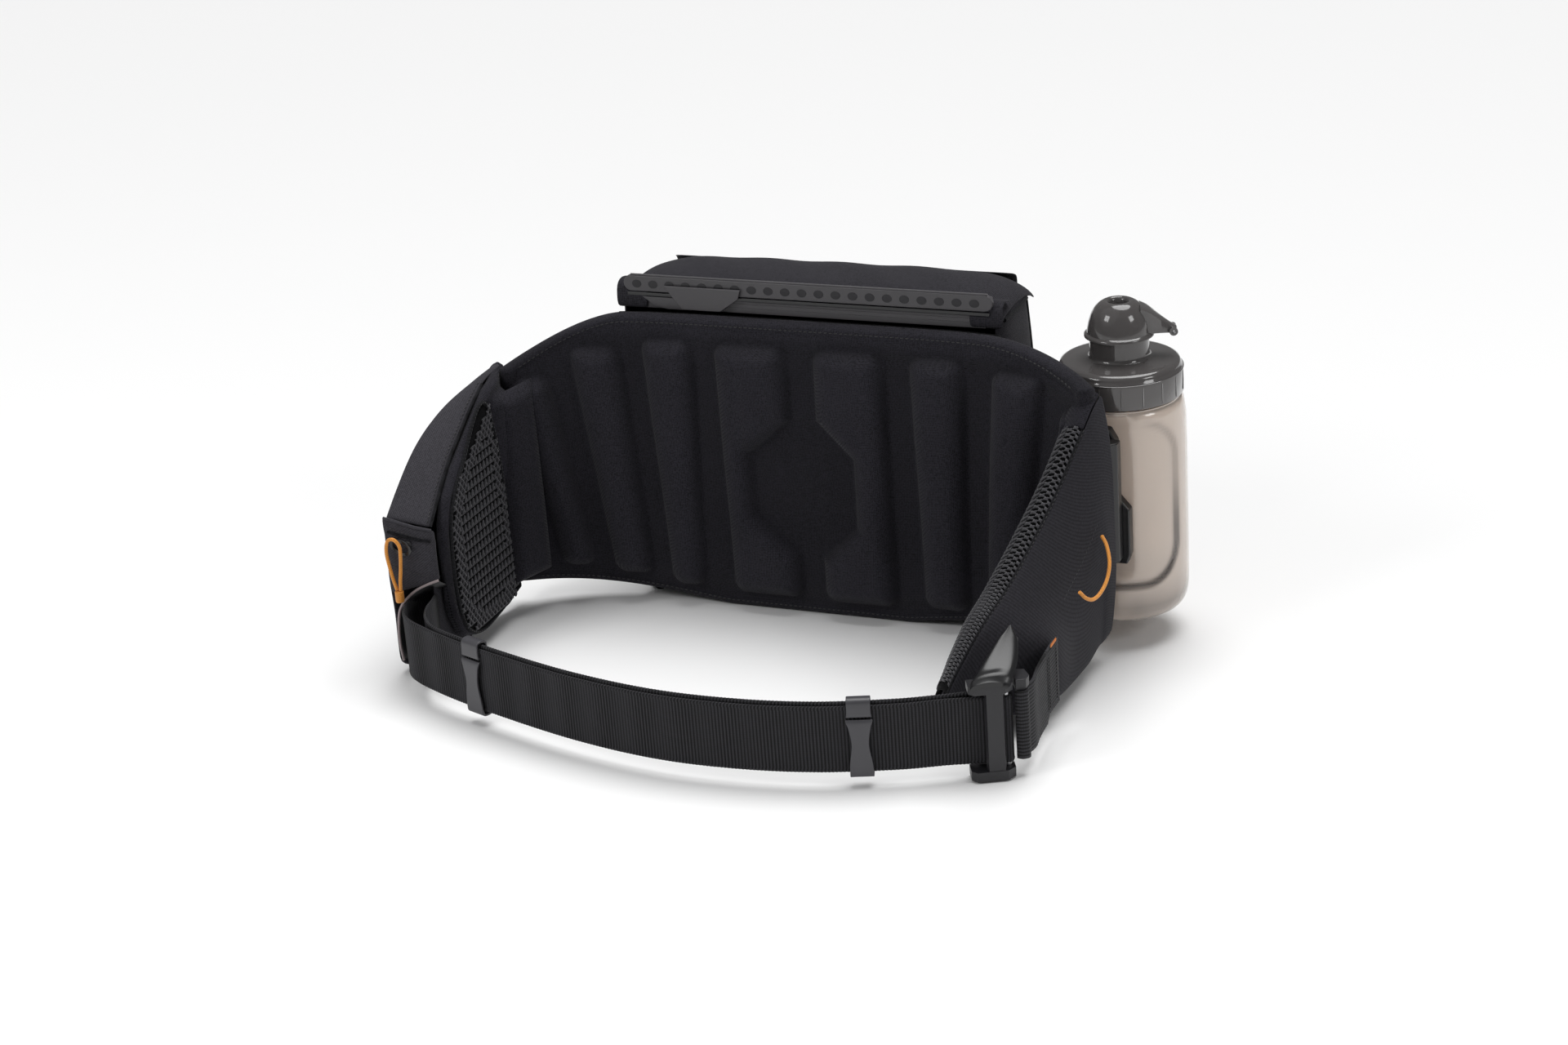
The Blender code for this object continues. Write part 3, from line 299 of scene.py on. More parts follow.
def moulded(name, colour, roughness, grain=0.04, scale=900.0, **sockets):
    """Moulded plastic or rubber with a fine grain and slightly worn, uneven gloss."""
    s = Shader(name, colour, roughness, **sockets)
    fine = s.noise(scale, 2.0)
    worn = s.noise(45.0, 4.0)
    s.colour(s.blend(worn, shade(colour, 0.82), shade(colour, 1.2)))
    s.rough(worn, roughness * 0.82, min(1.0, roughness * 1.18))
    s.bump(fine, grain * MM)
    return s.mat


def brushed(name, colour):
    s = Shader(name, colour, 0.3, Metallic=1.0)
    lines = s.noise(300.0, 3.0, (1, 1, 14))
    s.colour(s.blend(lines, shade(colour, 0.75), shade(colour, 1.1)))
    s.rough(lines, 0.2, 0.42)
    s.bump(lines, 0.01 * MM)
    return s.mat


def braided(name, colour):
    """Round cord with a diagonal braid, in the object's own millimetres."""
    s = Shader(name, colour, 0.55, Sheen_Weight=0.2)
    x, y, z = s.across("Object", 1000.0)
    weave = s.mul(s.ridge(s.add(s.mul(z, 0.8), s.mul(x, 0.8))),
                  s.ridge(s.math("SUBTRACT", s.mul(z, 0.8), s.mul(y, 0.8))))
    soil = s.noise(150.0, 3.0)
    tone = s.add(s.mul(weave, 0.55), s.mul(soil, 0.5), clamp=True)
    s.colour(s.blend(tone, shade(colour, 0.62), colour))
    s.rough(soil, 0.45, 0.7)
    s.bump(weave, 0.12 * MM)
    return s.mat


def clear(name, light, dark, roughness, transmission):
    """Tinted translucent plastic; the mesh attribute 'step' paints shade by blending the colour towards dark
    where it is set.
    """
    s = Shader(name, light, roughness, Transmission_Weight=transmission, IOR=1.45, Coat_Weight=0.5,
               Coat_Roughness=0.06)
    step = s.node("ShaderNodeAttribute", attribute_name="step").outputs["Fac"]
    haze = s.noise(18.0, 2.0)
    tone = s.add(s.mul(step, 0.9), s.mul(haze, 0.12), clamp=True)
    s.colour(s.blend(tone, light, dark))
    s.rough(haze, roughness * 0.8, roughness * 1.2)
    return s.mat


CHARCOAL = (0.0105, 0.0100, 0.0128)
MATS = {
    "panel": woven("panel_knit", CHARCOAL, 1.1, 0.3, sheen=0.35, fleck=3.0),
    # Knit of the moulded pads, with painted light on their tops and painted shade in the grooves.
    "pads": woven("moulded_knit_painted_light_shade", CHARCOAL, 1.1, 0.3, sheen=0.35, fleck=3.0, crest=True),
    "black": woven("black_cloth", (0.0155, 0.0148, 0.0178), 0.9, 0.14, sheen=0.25, fleck=2.6),
    "grey": woven("grey_stretch", (0.046, 0.044, 0.051), 0.8, 0.06, sheen=0.4, twill=True, fleck=1.4),
    "twill": woven("twill_cloth", (0.0255, 0.0245, 0.029), 0.9, 0.06, sheen=0.3, twill=True, fleck=1.4),
    "lining": woven("lining_cloth", (0.06, 0.06, 0.065), 0.5, 0.04, sheen=0.2),
    "binding": woven("binding_tape", (0.011, 0.011, 0.0125), 0.7, 0.1, sheen=0.2, fleck=1.6),
    "web": ribbed("webbing_ribs", (0.0105, 0.0103, 0.0118), 2.1),
    "yarn": yarn_mat("mesh_yarn", (0.036, 0.035, 0.041)),
    "backing": woven("mesh_backing", (0.003, 0.003, 0.0036), 1.0, 0.1, sheen=0.1),
    "thread": yarn_mat("sewing_thread", (0.008, 0.008, 0.009)),
    "orange_thread": yarn_mat("orange_thread", (0.62, 0.19, 0.03)),
    "rail": moulded("rail_plastic", (0.062, 0.059, 0.064), 0.46, 0.03),
    "dot": moulded("rail_dot", (0.019, 0.018, 0.021), 0.62, 0.02),
    "plastic": moulded("satin_plastic", (0.0155, 0.015, 0.0178), 0.42, 0.025),
    "dark_plastic": moulded("dark_plastic", (0.008, 0.008, 0.009), 0.30, 0.02),
    "rim": moulded("sleeve_rim", (0.30, 0.245, 0.25), 0.5, 0.03),
    "keeper": moulded("keeper_plastic", (0.056, 0.055, 0.062), 0.38, 0.02),
    "rubber": moulded("soft_rubber", (0.02, 0.02, 0.021), 0.8, 0.05),
    "steel": brushed("brushed_steel", (0.5, 0.5, 0.51)),
    "cord": braided("orange_cord", (0.86, 0.33, 0.035)),
    # The bottle's dark colour is painted shade, laid on by the 'step' attribute.
    "bottle": clear("bottle_plastic", (0.95, 0.84, 0.75), (0.17, 0.155, 0.15), 0.08, 0.55),
    "smoke": clear("smoke_plastic", (0.105, 0.098, 0.097), (0.03, 0.027, 0.025), 0.11, 0.25),
}


# ---------------------------------------------------------------- mesh helpers

def above(z):
    return Vector((0, 0, z))


def spoke(radius, turn, z):
    return Vector((radius * math.cos(turn), radius * math.sin(turn), z))


def arch(t):
    """Half a wave: 0 where t is 0 or 1, and 1 between them."""
    return np.sin(np.pi * t)


def bell(value, centre, width):
    """1 at centre, falling to nothing on both sides of it."""
    return np.exp(-((value - centre) / width) ** 2)


def step_at(path, i):
    """Step from the point before to the point after point i of a path."""
    return path[min(i + 1, len(path) - 1)] - path[max(i - 1, 0)]


def tangent(path, i):
    return step_at(path, i).normalized()


def finish_piece(obj, mat, body, replaced=(), smooth=45.0):
    """Give a new piece its material and, when body is a name, its body; with any other body the piece keeps its
    place in the world. The solids that it stands for are hidden.
    """
    obj.data.materials.clear()
    obj.data.materials.append(MATS[mat])
    if obj.type == "MESH":
        obj.data.shade_smooth()
        obj.data.set_sharp_from_angle(angle=math.radians(smooth))
    if isinstance(body, str):
        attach(obj, body)
    else:
        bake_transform(obj)
    if replaced:
        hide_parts(*replaced)
    return obj


def mesh_object(name, points, faces, uvs=None):
    """Object from points in millimetres; uvs, one for each point, are in metres."""
    mesh = bpy.data.meshes.new(name)
    mesh.from_pydata([tuple(c * MM for c in p) for p in points], [], faces)
    if uvs is not None:
        layer = mesh.uv_layers.new(name="UVMap")
        order = np.empty(len(mesh.loops), dtype=np.int32)
        mesh.loops.foreach_get("vertex_index", order)
        layer.data.foreach_set("uv", np.asarray(uvs, dtype=np.float32)[order].ravel())
    obj = bpy.data.objects.new(name, mesh)
    bpy.context.scene.collection.objects.link(obj)
    return obj


def arc_lengths(rows):
    """UV of a grid of points, in metres along its rows and columns."""
    grid = np.array([[tuple(p) for p in row] for row in rows], dtype=float)
    u = np.zeros(grid.shape[:2])
    v = np.zeros(grid.shape[:2])
    u[:, 1:] = np.cumsum(np.linalg.norm(np.diff(grid, axis=1), axis=2), axis=1)
    v[1:, :] = np.cumsum(np.linalg.norm(np.diff(grid, axis=0), axis=2), axis=0)
    return np.stack([u, v], axis=2).reshape(-1, 2) * MM


def grid_faces(rows, cols):
    corners = (i * cols + j for i in range(rows - 1) for j in range(cols - 1))
    return [(a, a + 1, a + cols + 1, a + cols) for a in corners]


def ring_faces(rings, sides):
    """Faces between rings of points, each ring closed."""
    faces = []
    for i in range(rings - 1):
        for k in range(sides):
            nxt = (k + 1) % sides
            faces.append((i * sides + k, i * sides + nxt, (i + 1) * sides + nxt, (i + 1) * sides + k))
    return faces


def grid_object(name, rows, thickness=0.0, side=1.0, levels=0):
    """Sheet through a grid of points; thickness grows along its normals times side."""
    points = [p for row in rows for p in row]
    obj = mesh_object(name, points, grid_faces(len(rows), len(rows[0])), arc_lengths(rows))
    if thickness:
        mod = obj.modifiers.new("thickness", "SOLIDIFY")
        mod.thickness = thickness * MM
        mod.offset = side
    if levels:
        mod = obj.modifiers.new("smoothing", "SUBSURF")
        mod.levels = levels
        mod.render_levels = levels
    return obj


def slab_object(name, front, back):
    """Closed piece between two grids with the same rows and columns."""
    rows = len(front)
    cols = len(front[0])
    count = rows * cols
    faces = grid_faces(rows, cols)
    faces += [tuple(k + count for k in f[::-1]) for f in faces]
    for j in range(cols - 1):
        faces.append((j + 1, j, j + count, j + 1 + count))
        a = (rows - 1) * cols + j
        faces.append((a, a + 1, a + 1 + count, a + count))
    for a in range(0, count - cols, cols):
        faces.append((a, a + cols, a + cols + count, a + count))
        b = a + cols - 1
        faces.append((b + cols, b, b + count, b + cols + count))
    points = [p for row in front + back for p in row]
    uvs = np.concatenate([arc_lengths(front), arc_lengths(back)])
    return outward(mesh_object(name, points, faces, uvs))


def sheet(name, rows, build, mat, body="pack", replaced=(), smooth=80):
    """Cloth through a grid of points; build is its thickness, side and levels."""
    return finish_piece(grid_object(name, rows, *build), mat, body, replaced, smooth)


def smooth_path(points, steps):
    """Points on a Catmull-Rom curve through points, steps for each span."""
    pts = [Vector(p) for p in points]
    pts = [pts[0] * 2 - pts[1]] + pts + [pts[-1] * 2 - pts[-2]]
    made = []
    for i in range(1, len(pts) - 2):
        a, b, c, d = pts[i - 1], pts[i], pts[i + 1], pts[i + 2]
        for k in range(steps):
            t = k / steps
            made.append(0.5 * (2 * b + (c - a) * t + (2 * a - 5 * b + 4 * c - d) * t ** 2
                               + (3 * b - a - 3 * c + d) * t ** 3))
    made.append(pts[-2])
    return made


def even_path(points, spacing):
    """Points a fixed distance apart along a smooth curve through points."""
    fine = smooth_path(points, 24)
    lengths = [0.0]
    for a, b in zip(fine, fine[1:]):
        lengths.append(lengths[-1] + (b - a).length)
    count = max(2, round(lengths[-1] / spacing))
    made = []
    k = 0
    for i in range(count + 1):
        wanted = lengths[-1] * i / count
        while k < len(fine) - 2 and lengths[k + 1] < wanted:
            k += 1
        t = (wanted - lengths[k]) / max(1e-9, lengths[k + 1] - lengths[k])
        made.append(fine[k].lerp(fine[k + 1], min(1.0, t)))
    return made


def soft_step(value, low, high):
    t = np.clip((value - low) / (high - low), 0.0, 1.0)
    return t * t * (3 - 2 * t)


def rounded_inside(x, z, left, right, low, high, radius):
    """Distance inside a rounded box, positive inside it; the sides may vary with z."""
    half = (right - left) / 2
    qx = np.abs(x - (left + right) / 2) - (half - radius)
    qz = np.abs(z - (low + high) / 2) - ((high - low) / 2 - radius)
    corner = np.hypot(np.maximum(qx, 0), np.maximum(qz, 0))
    return radius - corner - np.minimum(np.maximum(qx, qz), 0)


def pillow(distance, edge, height):
    """Soft shoulder that climbs to height over edge, with a rounded crest and a rounded foot."""
    t = np.clip(distance / edge, 0, 1)
    return height * (1 - (1 - t) ** 2.2) * np.clip(t * 4, 0, 1) ** 0.5


def capsule(start, end, radius, sides=6):
    """Spindle between two points: a short yarn or a stitch."""
    a = Vector(start)
    b = Vector(end)
    along = (b - a).normalized()
    other = Vector((0, 0, 1)) if abs(along.z) < 0.8 else Vector((1, 0, 0))
    u = along.cross(other).normalized()
    v = along.cross(u)
    points = [a]
    for t, size in ((0.12, 0.7), (0.5, 1.0), (0.88, 0.7)):
        centre = a.lerp(b, t)
        for k in range(sides):
            turn = 2 * math.pi * k / sides
            points.append(centre + (u * math.cos(turn) + v * math.sin(turn)) * radius * size)
    points.append(b)
    faces = []
    last = len(points) - 1
    for k in range(sides):
        nxt = (k + 1) % sides
        faces.append((0, 1 + k, 1 + nxt))
        for ring in (0, sides):
            faces.append((1 + ring + k, 1 + ring + sides + k, 1 + ring + sides + nxt, 1 + ring + nxt))
        faces.append((last, 1 + 2 * sides + nxt, 1 + 2 * sides + k))
    return points, faces


def gather(name, parts):
    """One object from many (points, faces) lists."""
    points = []
    faces = []
    for some_points, some_faces in parts:
        base = len(points)
        points += some_points
        faces += [tuple(k + base for k in f) for f in some_faces]
    return mesh_object(name, points, faces)


def stitches(name, path, body, pitch=3.2, length=2.2, radius=0.35, mat="thread"):
    """A row of sewn stitches along a path."""
    spots = even_path(path, pitch)
    parts = [capsule(a, a.lerp(b, length / pitch), radius, 5) for a, b in zip(spots, spots[1:])]
    finish_piece(gather(name, parts), mat, body)


def tube(name, path, radius, mat="binding", body="pack", sides=10):
    """Round rod or piping along a path of points."""
    spots = [Vector(p) for p in path]
    rows = []
    previous = Vector((0, 0, 1))
    for i, p in enumerate(spots):
        along = tangent(spots, i)
        u = previous - along * previous.dot(along)
        u = u.normalized() if u.length > 1e-6 else along.orthogonal().normalized()
        v = along.cross(u)
        previous = u
        turns = [2 * math.pi * k / sides for k in range(sides)]
        rows.append([p + (u * math.cos(turn) + v * math.sin(turn)) * radius for turn in turns])
    points = [p for row in rows for p in row]
    faces = ring_faces(len(rows), sides)
    faces.append(tuple(range(sides))[::-1])
    faces.append(tuple((len(rows) - 1) * sides + k for k in range(sides)))
    uvs = [(i * MM, k * MM) for i in range(len(rows)) for k in range(sides)]
    finish_piece(mesh_object(name, points, faces, uvs), mat, body)


def turned(name, profile, centre, segments=72):
    """Turn a closed profile of (radius, height) points about a vertical axis through centre."""
    points = []
    rings = []
    for radius, height in profile:
        if radius < 1e-6:
            rings.append([len(points)])
            points.append(Vector((0, 0, height)))
            continue
        rings.append([len(points) + k for k in range(segments)])
        points += [spoke(radius, 2 * math.pi * k / segments, height) for k in range(segments)]
    pairs = list(zip(rings, rings[1:]))
    if len(rings[0]) > 1 or len(rings[-1]) > 1:
        pairs.append((rings[-1], rings[0]))
    faces = []
    for low, high in pairs:
        for k in range(segments):
            nxt = (k + 1) % segments
            if len(low) == 1 and len(high) == 1:
                continue
            if len(low) == 1:
                faces.append((low[0], high[nxt], high[k]))
            elif len(high) == 1:
                faces.append((low[k], low[nxt], high[0]))
            else:
                faces.append((low[k], low[nxt], high[nxt], high[k]))
    points = [p + Vector(centre) for p in points]
    return mesh_object(name, points, faces)


def outward(obj):
    """Make all face normals point out."""
    bm = bmesh.new()
    bm.from_mesh(obj.data)
    bmesh.ops.recalc_face_normals(bm, faces=bm.faces)
    bm.to_mesh(obj.data)
    bm.free()
    return obj


def refine(node, mat, width):
    """Show a solid as it is, with its own material and edges rounded by width."""
    obj = NODES[node]
    obj.data.materials.clear()
    obj.data.materials.append(MATS[mat])
    weld = obj.modifiers.new("weld", "WELD")
    weld.merge_threshold = 0.000005
    if width:
        mod = obj.modifiers.new("edges", "BEVEL")
        mod.width = width * MM
        mod.segments = 2
        mod.limit_method = "ANGLE"
        mod.angle_limit = math.radians(35)
    obj.data.shade_smooth()
    normals = obj.modifiers.new("normals", "WEIGHTED_NORMAL")
    normals.keep_sharp = True


# Solids that are shown as they are: node, material, width of the rounded edges
REFINED = (("zip_tape_lower", "binding", 0.2), ("zip_tape_upper", "binding", 0.2),
           ("outer_zip_slider", "steel", 0.5), ("outer_zip_pull", "cord", 0.4),
           ("closure_rail_sliding", "rail", 0), ("closure_rail_fixed", "rail", 0.4),
           ("closure_rail_rib", "dark_plastic", 0.2), ("closure_strip", "rail", 0.2),
           ("closure_tab_front", "rail", 0.3), ("closure_tab_rear", "rail", 0.2),
           ("main_back_wall", "lining", 0), ("back_panel_stiffener", "dark_plastic", 0),
           ("left_zip_slider", "plastic", 0.4), ("left_zip_ring", "dark_plastic", 0.3),
           ("left_cord_crimp", "cord", 0), ("stub_hook", "plastic", 0.6), ("buckle_frame", "plastic", 0),
           ("buckle_fold_pin", "steel", 0), ("bottle_connector", "dark_plastic", 0.6),
           ("bottle_base", "dark_plastic", 0.8), ("cap_gasket", "rubber", 0), ("spout_seat", "smoke", 0),
           ("spout_valve", "rubber", 0), ("lid_hinge_pin", "steel", 0))


# ---------------------------------------------------------------- back panel

def panel_point(x, depth):
    """Point of the panel in plan at x, depth behind its wearer's face."""
    y = PANEL_Y - PANEL_CURL * abs(x / CURL_X) ** 5
    slope = -math.copysign(PANEL_CURL * 5 * abs(x / CURL_X) ** 4 / CURL_X, x)
    normal = Vector((-slope, 1.0)).normalized()
    return x + normal.x * depth, y + normal.y * depth


def panel_top(x):
    drop = 31.0 if x < 0 else 17.0
    past = max(0.0, abs(x) - TOP_FLAT) / (PANEL_HALF - TOP_FLAT)
    return PANEL_TOP - drop * past ** 1.6


def panel_bottom(x):
    return 17.0 * max(0.0, abs(x) - 60.0) / (PANEL_HALF - 60.0)


# Embossed pads: left and right side at the foot, left and right side at the head, foot, head
PADS = [(-55, -7, -57, -9, 10, 175), (6, 55, 7, 53, 10, 175), (-96, -73, -105, -69, 12, 176),
        (71, 101, 68, 105, 12, 175), (-133, -107, -150, -117, 18, 170), (111, 138, 121, 158, 18, 172),
        (-164, -143, -182, -160, 24, 153), (147, 168, 168, 183, 26, 157)]
PAD_LIFT = 8.4
RECESS = [(-8, 128), (-35, 105), (-35, 66), (-8, 42), (8, 42), (29, 62), (29, 105), (8, 128)]


def recess_distance(x, z):
    """Distance outside the octagonal recess, negative inside it."""
    result = np.full(x.shape, -1e9)
    corners = RECESS + RECESS[:1]
    for (ax, az), (bx, bz) in zip(corners, corners[1:]):
        length = math.hypot(bx - ax, bz - az)
        nx = (bz - az) / length
        nz = -(bx - ax) / length
        result = np.maximum(result, (x - ax) * nx + (z - az) * nz)
    return result


def pad_relief(x, z):
    """Height of the embossed pads over the panel's floor."""
    relief = np.zeros(x.shape)
    for low_a, low_b, high_a, high_b, foot, head in PADS:
        t = np.clip((z - foot) / (head - foot), 0, 1)
        left = low_a + (high_a - low_a) * t
        right = low_b + (high_b - low_b) * t
        inside = rounded_inside(x, z, left, right, foot, head, np.minimum(9.0, (right - left) * 0.42))
        if abs(low_a + low_b) < 80:
            inside = np.minimum(inside, recess_distance(x, z))
        crown = 1.2 * arch(np.clip((x - left) / (right - left), 0, 1))
        relief = np.maximum(relief, pillow(inside, 11.0, PAD_LIFT) + crown * soft_step(inside, 4.0, 14.0))
    return relief


def make_panel():
    """Moulded foam panel with its embossed pads, rolled rim and flat rear face."""
    columns = 300
    rows = 150
    fractions = np.linspace(0, 1, rows + 1)
    xs = np.linspace(-PANEL_HALF, PANEL_HALF, columns + 1)
    front = []
    back = []
    for x in xs:
        low = panel_bottom(x)
        high = panel_top(x)
        z = low + (high - low) * fractions
        border = np.minimum(np.minimum(z - low, high - z), PANEL_HALF - abs(x))
        roll = 4.5
        inward = roll - np.sqrt(np.maximum(0, roll ** 2 - np.maximum(0, roll - border) ** 2))
        seam = 0.7 * bell(border, 6.5, 0.9)
        relief = pad_relief(np.full(z.shape, x), z)
        sway = 0.5 * np.sin(x * 0.045 + z * 0.02) + 0.35 * np.sin(x * 0.11 - z * 0.05)
        depth = inward + seam - relief - sway * soft_step(border, 4.0, 16.0)
        for face, depths in ((front, depth), (back, PANEL_THICK - inward)):
            face.append([Vector((*panel_point(x, d), h)) for d, h in zip(depths, z)])
    panel = slab_object("panel_pad", front, back)
    # Painted light and shade: 'crest' is 1 on the pad tops, 0.8 on the plain bands at the head and foot and 0 in
    # the grooves, and the knit is lightened or darkened by it.
    spots = np.array([v.co for v in panel.data.vertices]) / MM
    share = np.clip(pad_relief(spots[:, 0], spots[:, 2]) / PAD_LIFT, 0, 1)
    plain = np.maximum(soft_step(spots[:, 2], 174.0, 182.0), 1.0 - soft_step(spots[:, 2], 3.0, 9.0))
    crest = panel.data.attributes.new("crest", "FLOAT", "POINT")
    crest.data.foreach_set("value", np.maximum(share, plain * 0.8).astype(np.float32))
    finish_piece(panel, "pads", "pack", ("back_panel_foam",), 80)
    inset = 4.2
    for name, edge, step in (("foot", panel_bottom, inset), ("head", panel_top, -inset)):
        line = [(*panel_point(x, -0.15), edge(x) + step) for x in np.linspace(-176, 176, 60)]
        stitches(f"panel_{name}_stitches", line, "pack")


# ---------------------------------------------------------------- compartment

def wall_y(x, z):
    middle = BODY_TOP / 2
    return BODY_Y - 7.0 * abs(x / BODY_HALF) ** 4 - 7.0 * abs((z - middle) / middle) ** 2


def compartment_plan(z):
    """Plan of the compartment's skin at a height, from one end of the panel round to the other."""
    corner = 15.0
    deep = wall_y(BODY_HALF, z)
    swell = 3.2 * arch(min(1.0, z / BODY_TOP))
    side = [(BODY_HALF - 4, -26.5), (BODY_HALF + swell * 0.5, -20), (BODY_HALF + swell, 4),
            (BODY_HALF + swell * 0.6, deep - corner)]
    for k in range(1, 5):
        turn = math.pi / 2 * k / 5
        side.append((BODY_HALF - corner + corner * math.cos(turn) + swell * 0.4,
                     deep - corner + corner * math.sin(turn)))
    wall = [(x, wall_y(x, z)) for x in (96, 70, 44, 20, 0)]
    half = side + wall
    return half + [(-x, y) for x, y in half[-2::-1]]


def make_compartment():
    """Side and outer walls as one skin that rolls under into the base."""
    rows = []
    foot = [(0.1, 9.0), (0.3, 4.0), (2.2, 1.2), (6, 0.2)]
    for z, inset in foot + [(z, 0) for z in (20, 45, 75, 105, 135, 160, 178)] + [(190, 0.2), (197, 0.8)]:
        plan = compartment_plan(z)
        row = []
        for x, y in plan:
            sag = 0.8 * math.sin(x * 0.09 + z * 0.06) * arch(z / BODY_TOP)
            row.append(Vector((x * (1 - inset / BODY_HALF), y - (inset + 0.6 if y > 0 else 0) + sag * 0.6, z)))
        rows.append(row)
    sheet("compartment_skin", rows, (1.4, 1.0, 2), "black",
          replaced=("main_outer_wall", "main_side_left", "main_side_right"))
    floor = [[Vector((x, y, 0.6)) for x in np.linspace(-BODY_HALF + 3, BODY_HALF - 3, 14)]
             for y in np.linspace(-26, 34, 6)]
    sheet("compartment_base", floor, (1.2, 1.0, 1), "black", replaced=("main_base",), smooth=45)
    for side, name in ((-1, "left"), (1, "right")):
        plan = [(side * (BODY_HALF + 2.4 * arch(z / BODY_TOP) - 3.2), wall_y(BODY_HALF, z) - 2.6, z)
                for z in np.linspace(8, 192, 24)]
        tube(f"corner_piping_{name}", plan, 1.5)
        brim = [(side * (BODY_HALF + 0.8), y, 193.5) for y in np.linspace(-22, 20, 14)]
        tube(f"brim_piping_{name}", brim, 1.3)


def make_outer_pocket():
    """Flat pocket with a zip, blown up a little by what is in it."""
    half = 108.0
    low = 14.0
    top = 148.0

    def blown(x, z, lift):
        """y of the pocket, lift off the wall plus what is in the pocket."""
        f = (z - low) / (top - low)
        return wall_y(x, z) + lift + 15.0 * arch(0.05 + 0.80 * f) ** 0.7 * (1 - abs(x / half) ** 5)

    rows = []
    for f in np.linspace(0, 1, 33):
        z = low + (top - low) * f
        row = []
        for x in np.linspace(-half, half, 49):
            pucker = 0.5 * math.sin(x * 0.5) * math.exp(-((1 - f) * 9) ** 2)
            pucker += 0.7 * math.sin(x * 0.06 + z * 0.08)
            groove = -0.8 * bell(min(half - abs(x), z - low), 7, 1.6)
            row.append(Vector((x, blown(x, z, 2.4) + pucker * (1 - abs(x / half) ** 5) + groove, z)))
        rows.append(row)
    sheet("outer_pocket", rows, (2.0, 1.0, 0), "black", replaced=("outer_pocket_panel",))
    for name, inset in (("pocket_seam_a", 5.2), ("pocket_seam_b", 8.8)):
        right = [(x, low + inset) for x in (0, 60, half - inset - 7)]
        right += [(half - inset, z) for z in (34, 70, 110, top - 4)]
        path = [(-x, z) for x, z in right[:0:-1]] + right
        stitches(name, [(x, blown(x, z, 3.0), z) for x, z in path], "pack")
    teeth = []
    for k, x in enumerate(np.linspace(-half + 3, half - 3, 130)):
        y = wall_y(x, 152.6) + 1.7
        z = 152.6 + (0.9 if k % 2 else -0.9)
        teeth.append(capsule((x, y, z - 1.6), (x, y, z + 1.6), 0.75, 6))
    finish_piece(gather("zip_teeth", teeth), "dark_plastic", "pack")


def make_hood():
    """Fabric top of the bag behind the rail, with soft shoulders and a bound edge."""
    half = BODY_HALF + 0.5
    crown = ((-24.3, 202.6), (-24.1, 205.0), (-21.0, 206.6), (-15, 208.0), (-2, 208.8), (14, 208.0), (28, 205.0),
             (37.2, 200.6))
    profile = even_path([(y, z, 0) for y, z in crown], 2.6)
    rows = []
    for j in range(61):
        f = -1 + 2 * j / 60
        ease = abs(f)
        drop = 12.0 * (1 - max(0.0, 1 - ease ** 8) ** 0.75) + 1.0 * ease ** 4
        row = []
        for k, p in enumerate(profile):
            wave = 0.45 * math.sin(f * 16 + k * 0.35) * (1 - ease ** 4)
            row.append(Vector((f * half, p.x - drop * 0.12, p.y - drop + wave)))
        rows.append(row)
    sheet("hood_cloth", rows, (1.4, -1.0, 1), "black", "hood", replaced=("hood_panel",))
    lip = [(f * half, 37.0, 199.4) for f in np.linspace(-0.88, 0.88, 30)]
    tube("hood_hem", lip, 1.3, "binding", "hood")
    bend = ((37.9, 192.0), (38.2, 196.0), (38.1, 198.4), (37.6, 200.4), (36.2, 202.2), (33.0, 203.6))
    fold = [[Vector((x, y, z)) for y, z in bend] for x in np.linspace(-112, 112, 24)]
    hinge = ("pack", "hood", (0, 0.0380, 0.1965), (0, 0.0368, 0.2010))
    sheet("hood_fold_cloth", fold, (1.0, 0.0, 1), "black", hinge)
    roll = ((-27.6, 189.5), (-27.4, 196.5), (-26.4, 202.6), (-22.4, 205.0), (-16.5, 204.6), (-9.0, 201.5))
    for side, name in ((-1, "left"), (1, "right")):
        rows = [[Vector((side * x, y, z)) for y, z in roll] for x in np.linspace(103, BODY_HALF + 1.5, 8)]
        sheet(f"mouth_end_{name}", rows, (1.2, 1.0, 1), "black")


def make_rails():
    """Dots and lip of the sliding rail, and the ribs of the strip below it."""
    parts = []
    for k in range(21):
        x = -109.0 + 10.8 * k
        points = [Vector((x, -28.75, 204.9))]
        for ring, y in ((0.86, -28.75), (1.0, -28.62), (1.0, -28.3)):
            for step in range(24):
                turn = 2 * math.pi * step / 24
                points.append(Vector((x + 3.1 * ring * math.cos(turn), y, 204.9 + 2.5 * ring * math.sin(turn))))
        faces = []
        for step in range(24):
            nxt = (step + 1) % 24
            faces.append((0, 1 + step, 1 + nxt))
            for ring in (0, 24):
                faces.append((1 + ring + step, 25 + ring + step, 25 + ring + nxt, 1 + ring + nxt))
        faces.append(tuple(49 + step for step in range(24)))
        parts.append((points, faces))
    finish_piece(outward(gather("rail_dots", parts)), "dot", "sliding_rail")
    lip = [(x, -27.4, 210.4) for x in np.linspace(-113, 115, 20)]
    tube("rail_lip", lip, 0.7, "rail", "sliding_rail")
    for k, z in enumerate((192.6, 195.0)):
        groove = [(x, -26.9 + (z - 190) * 0.10, z) for x in np.linspace(-58, 111, 12)]
        tube(f"strip_rib_{k}", groove, 0.35, "rail", "pack", sides=6)


# ---------------------------------------------------------------- left wing

LEFT_SEAM = ("pack", "left_wing", (-0.186, -0.066, 0.08), (-0.186, -0.086, 0.08))
MESH_EDGE = [(-83, 20), (-110, 15), (-135, 13), (-151, 21), (-158.5, 38), (-160.5, 64), (-157.5, 92),
             (-151, 106), (-139, 119), (-99, 146)]


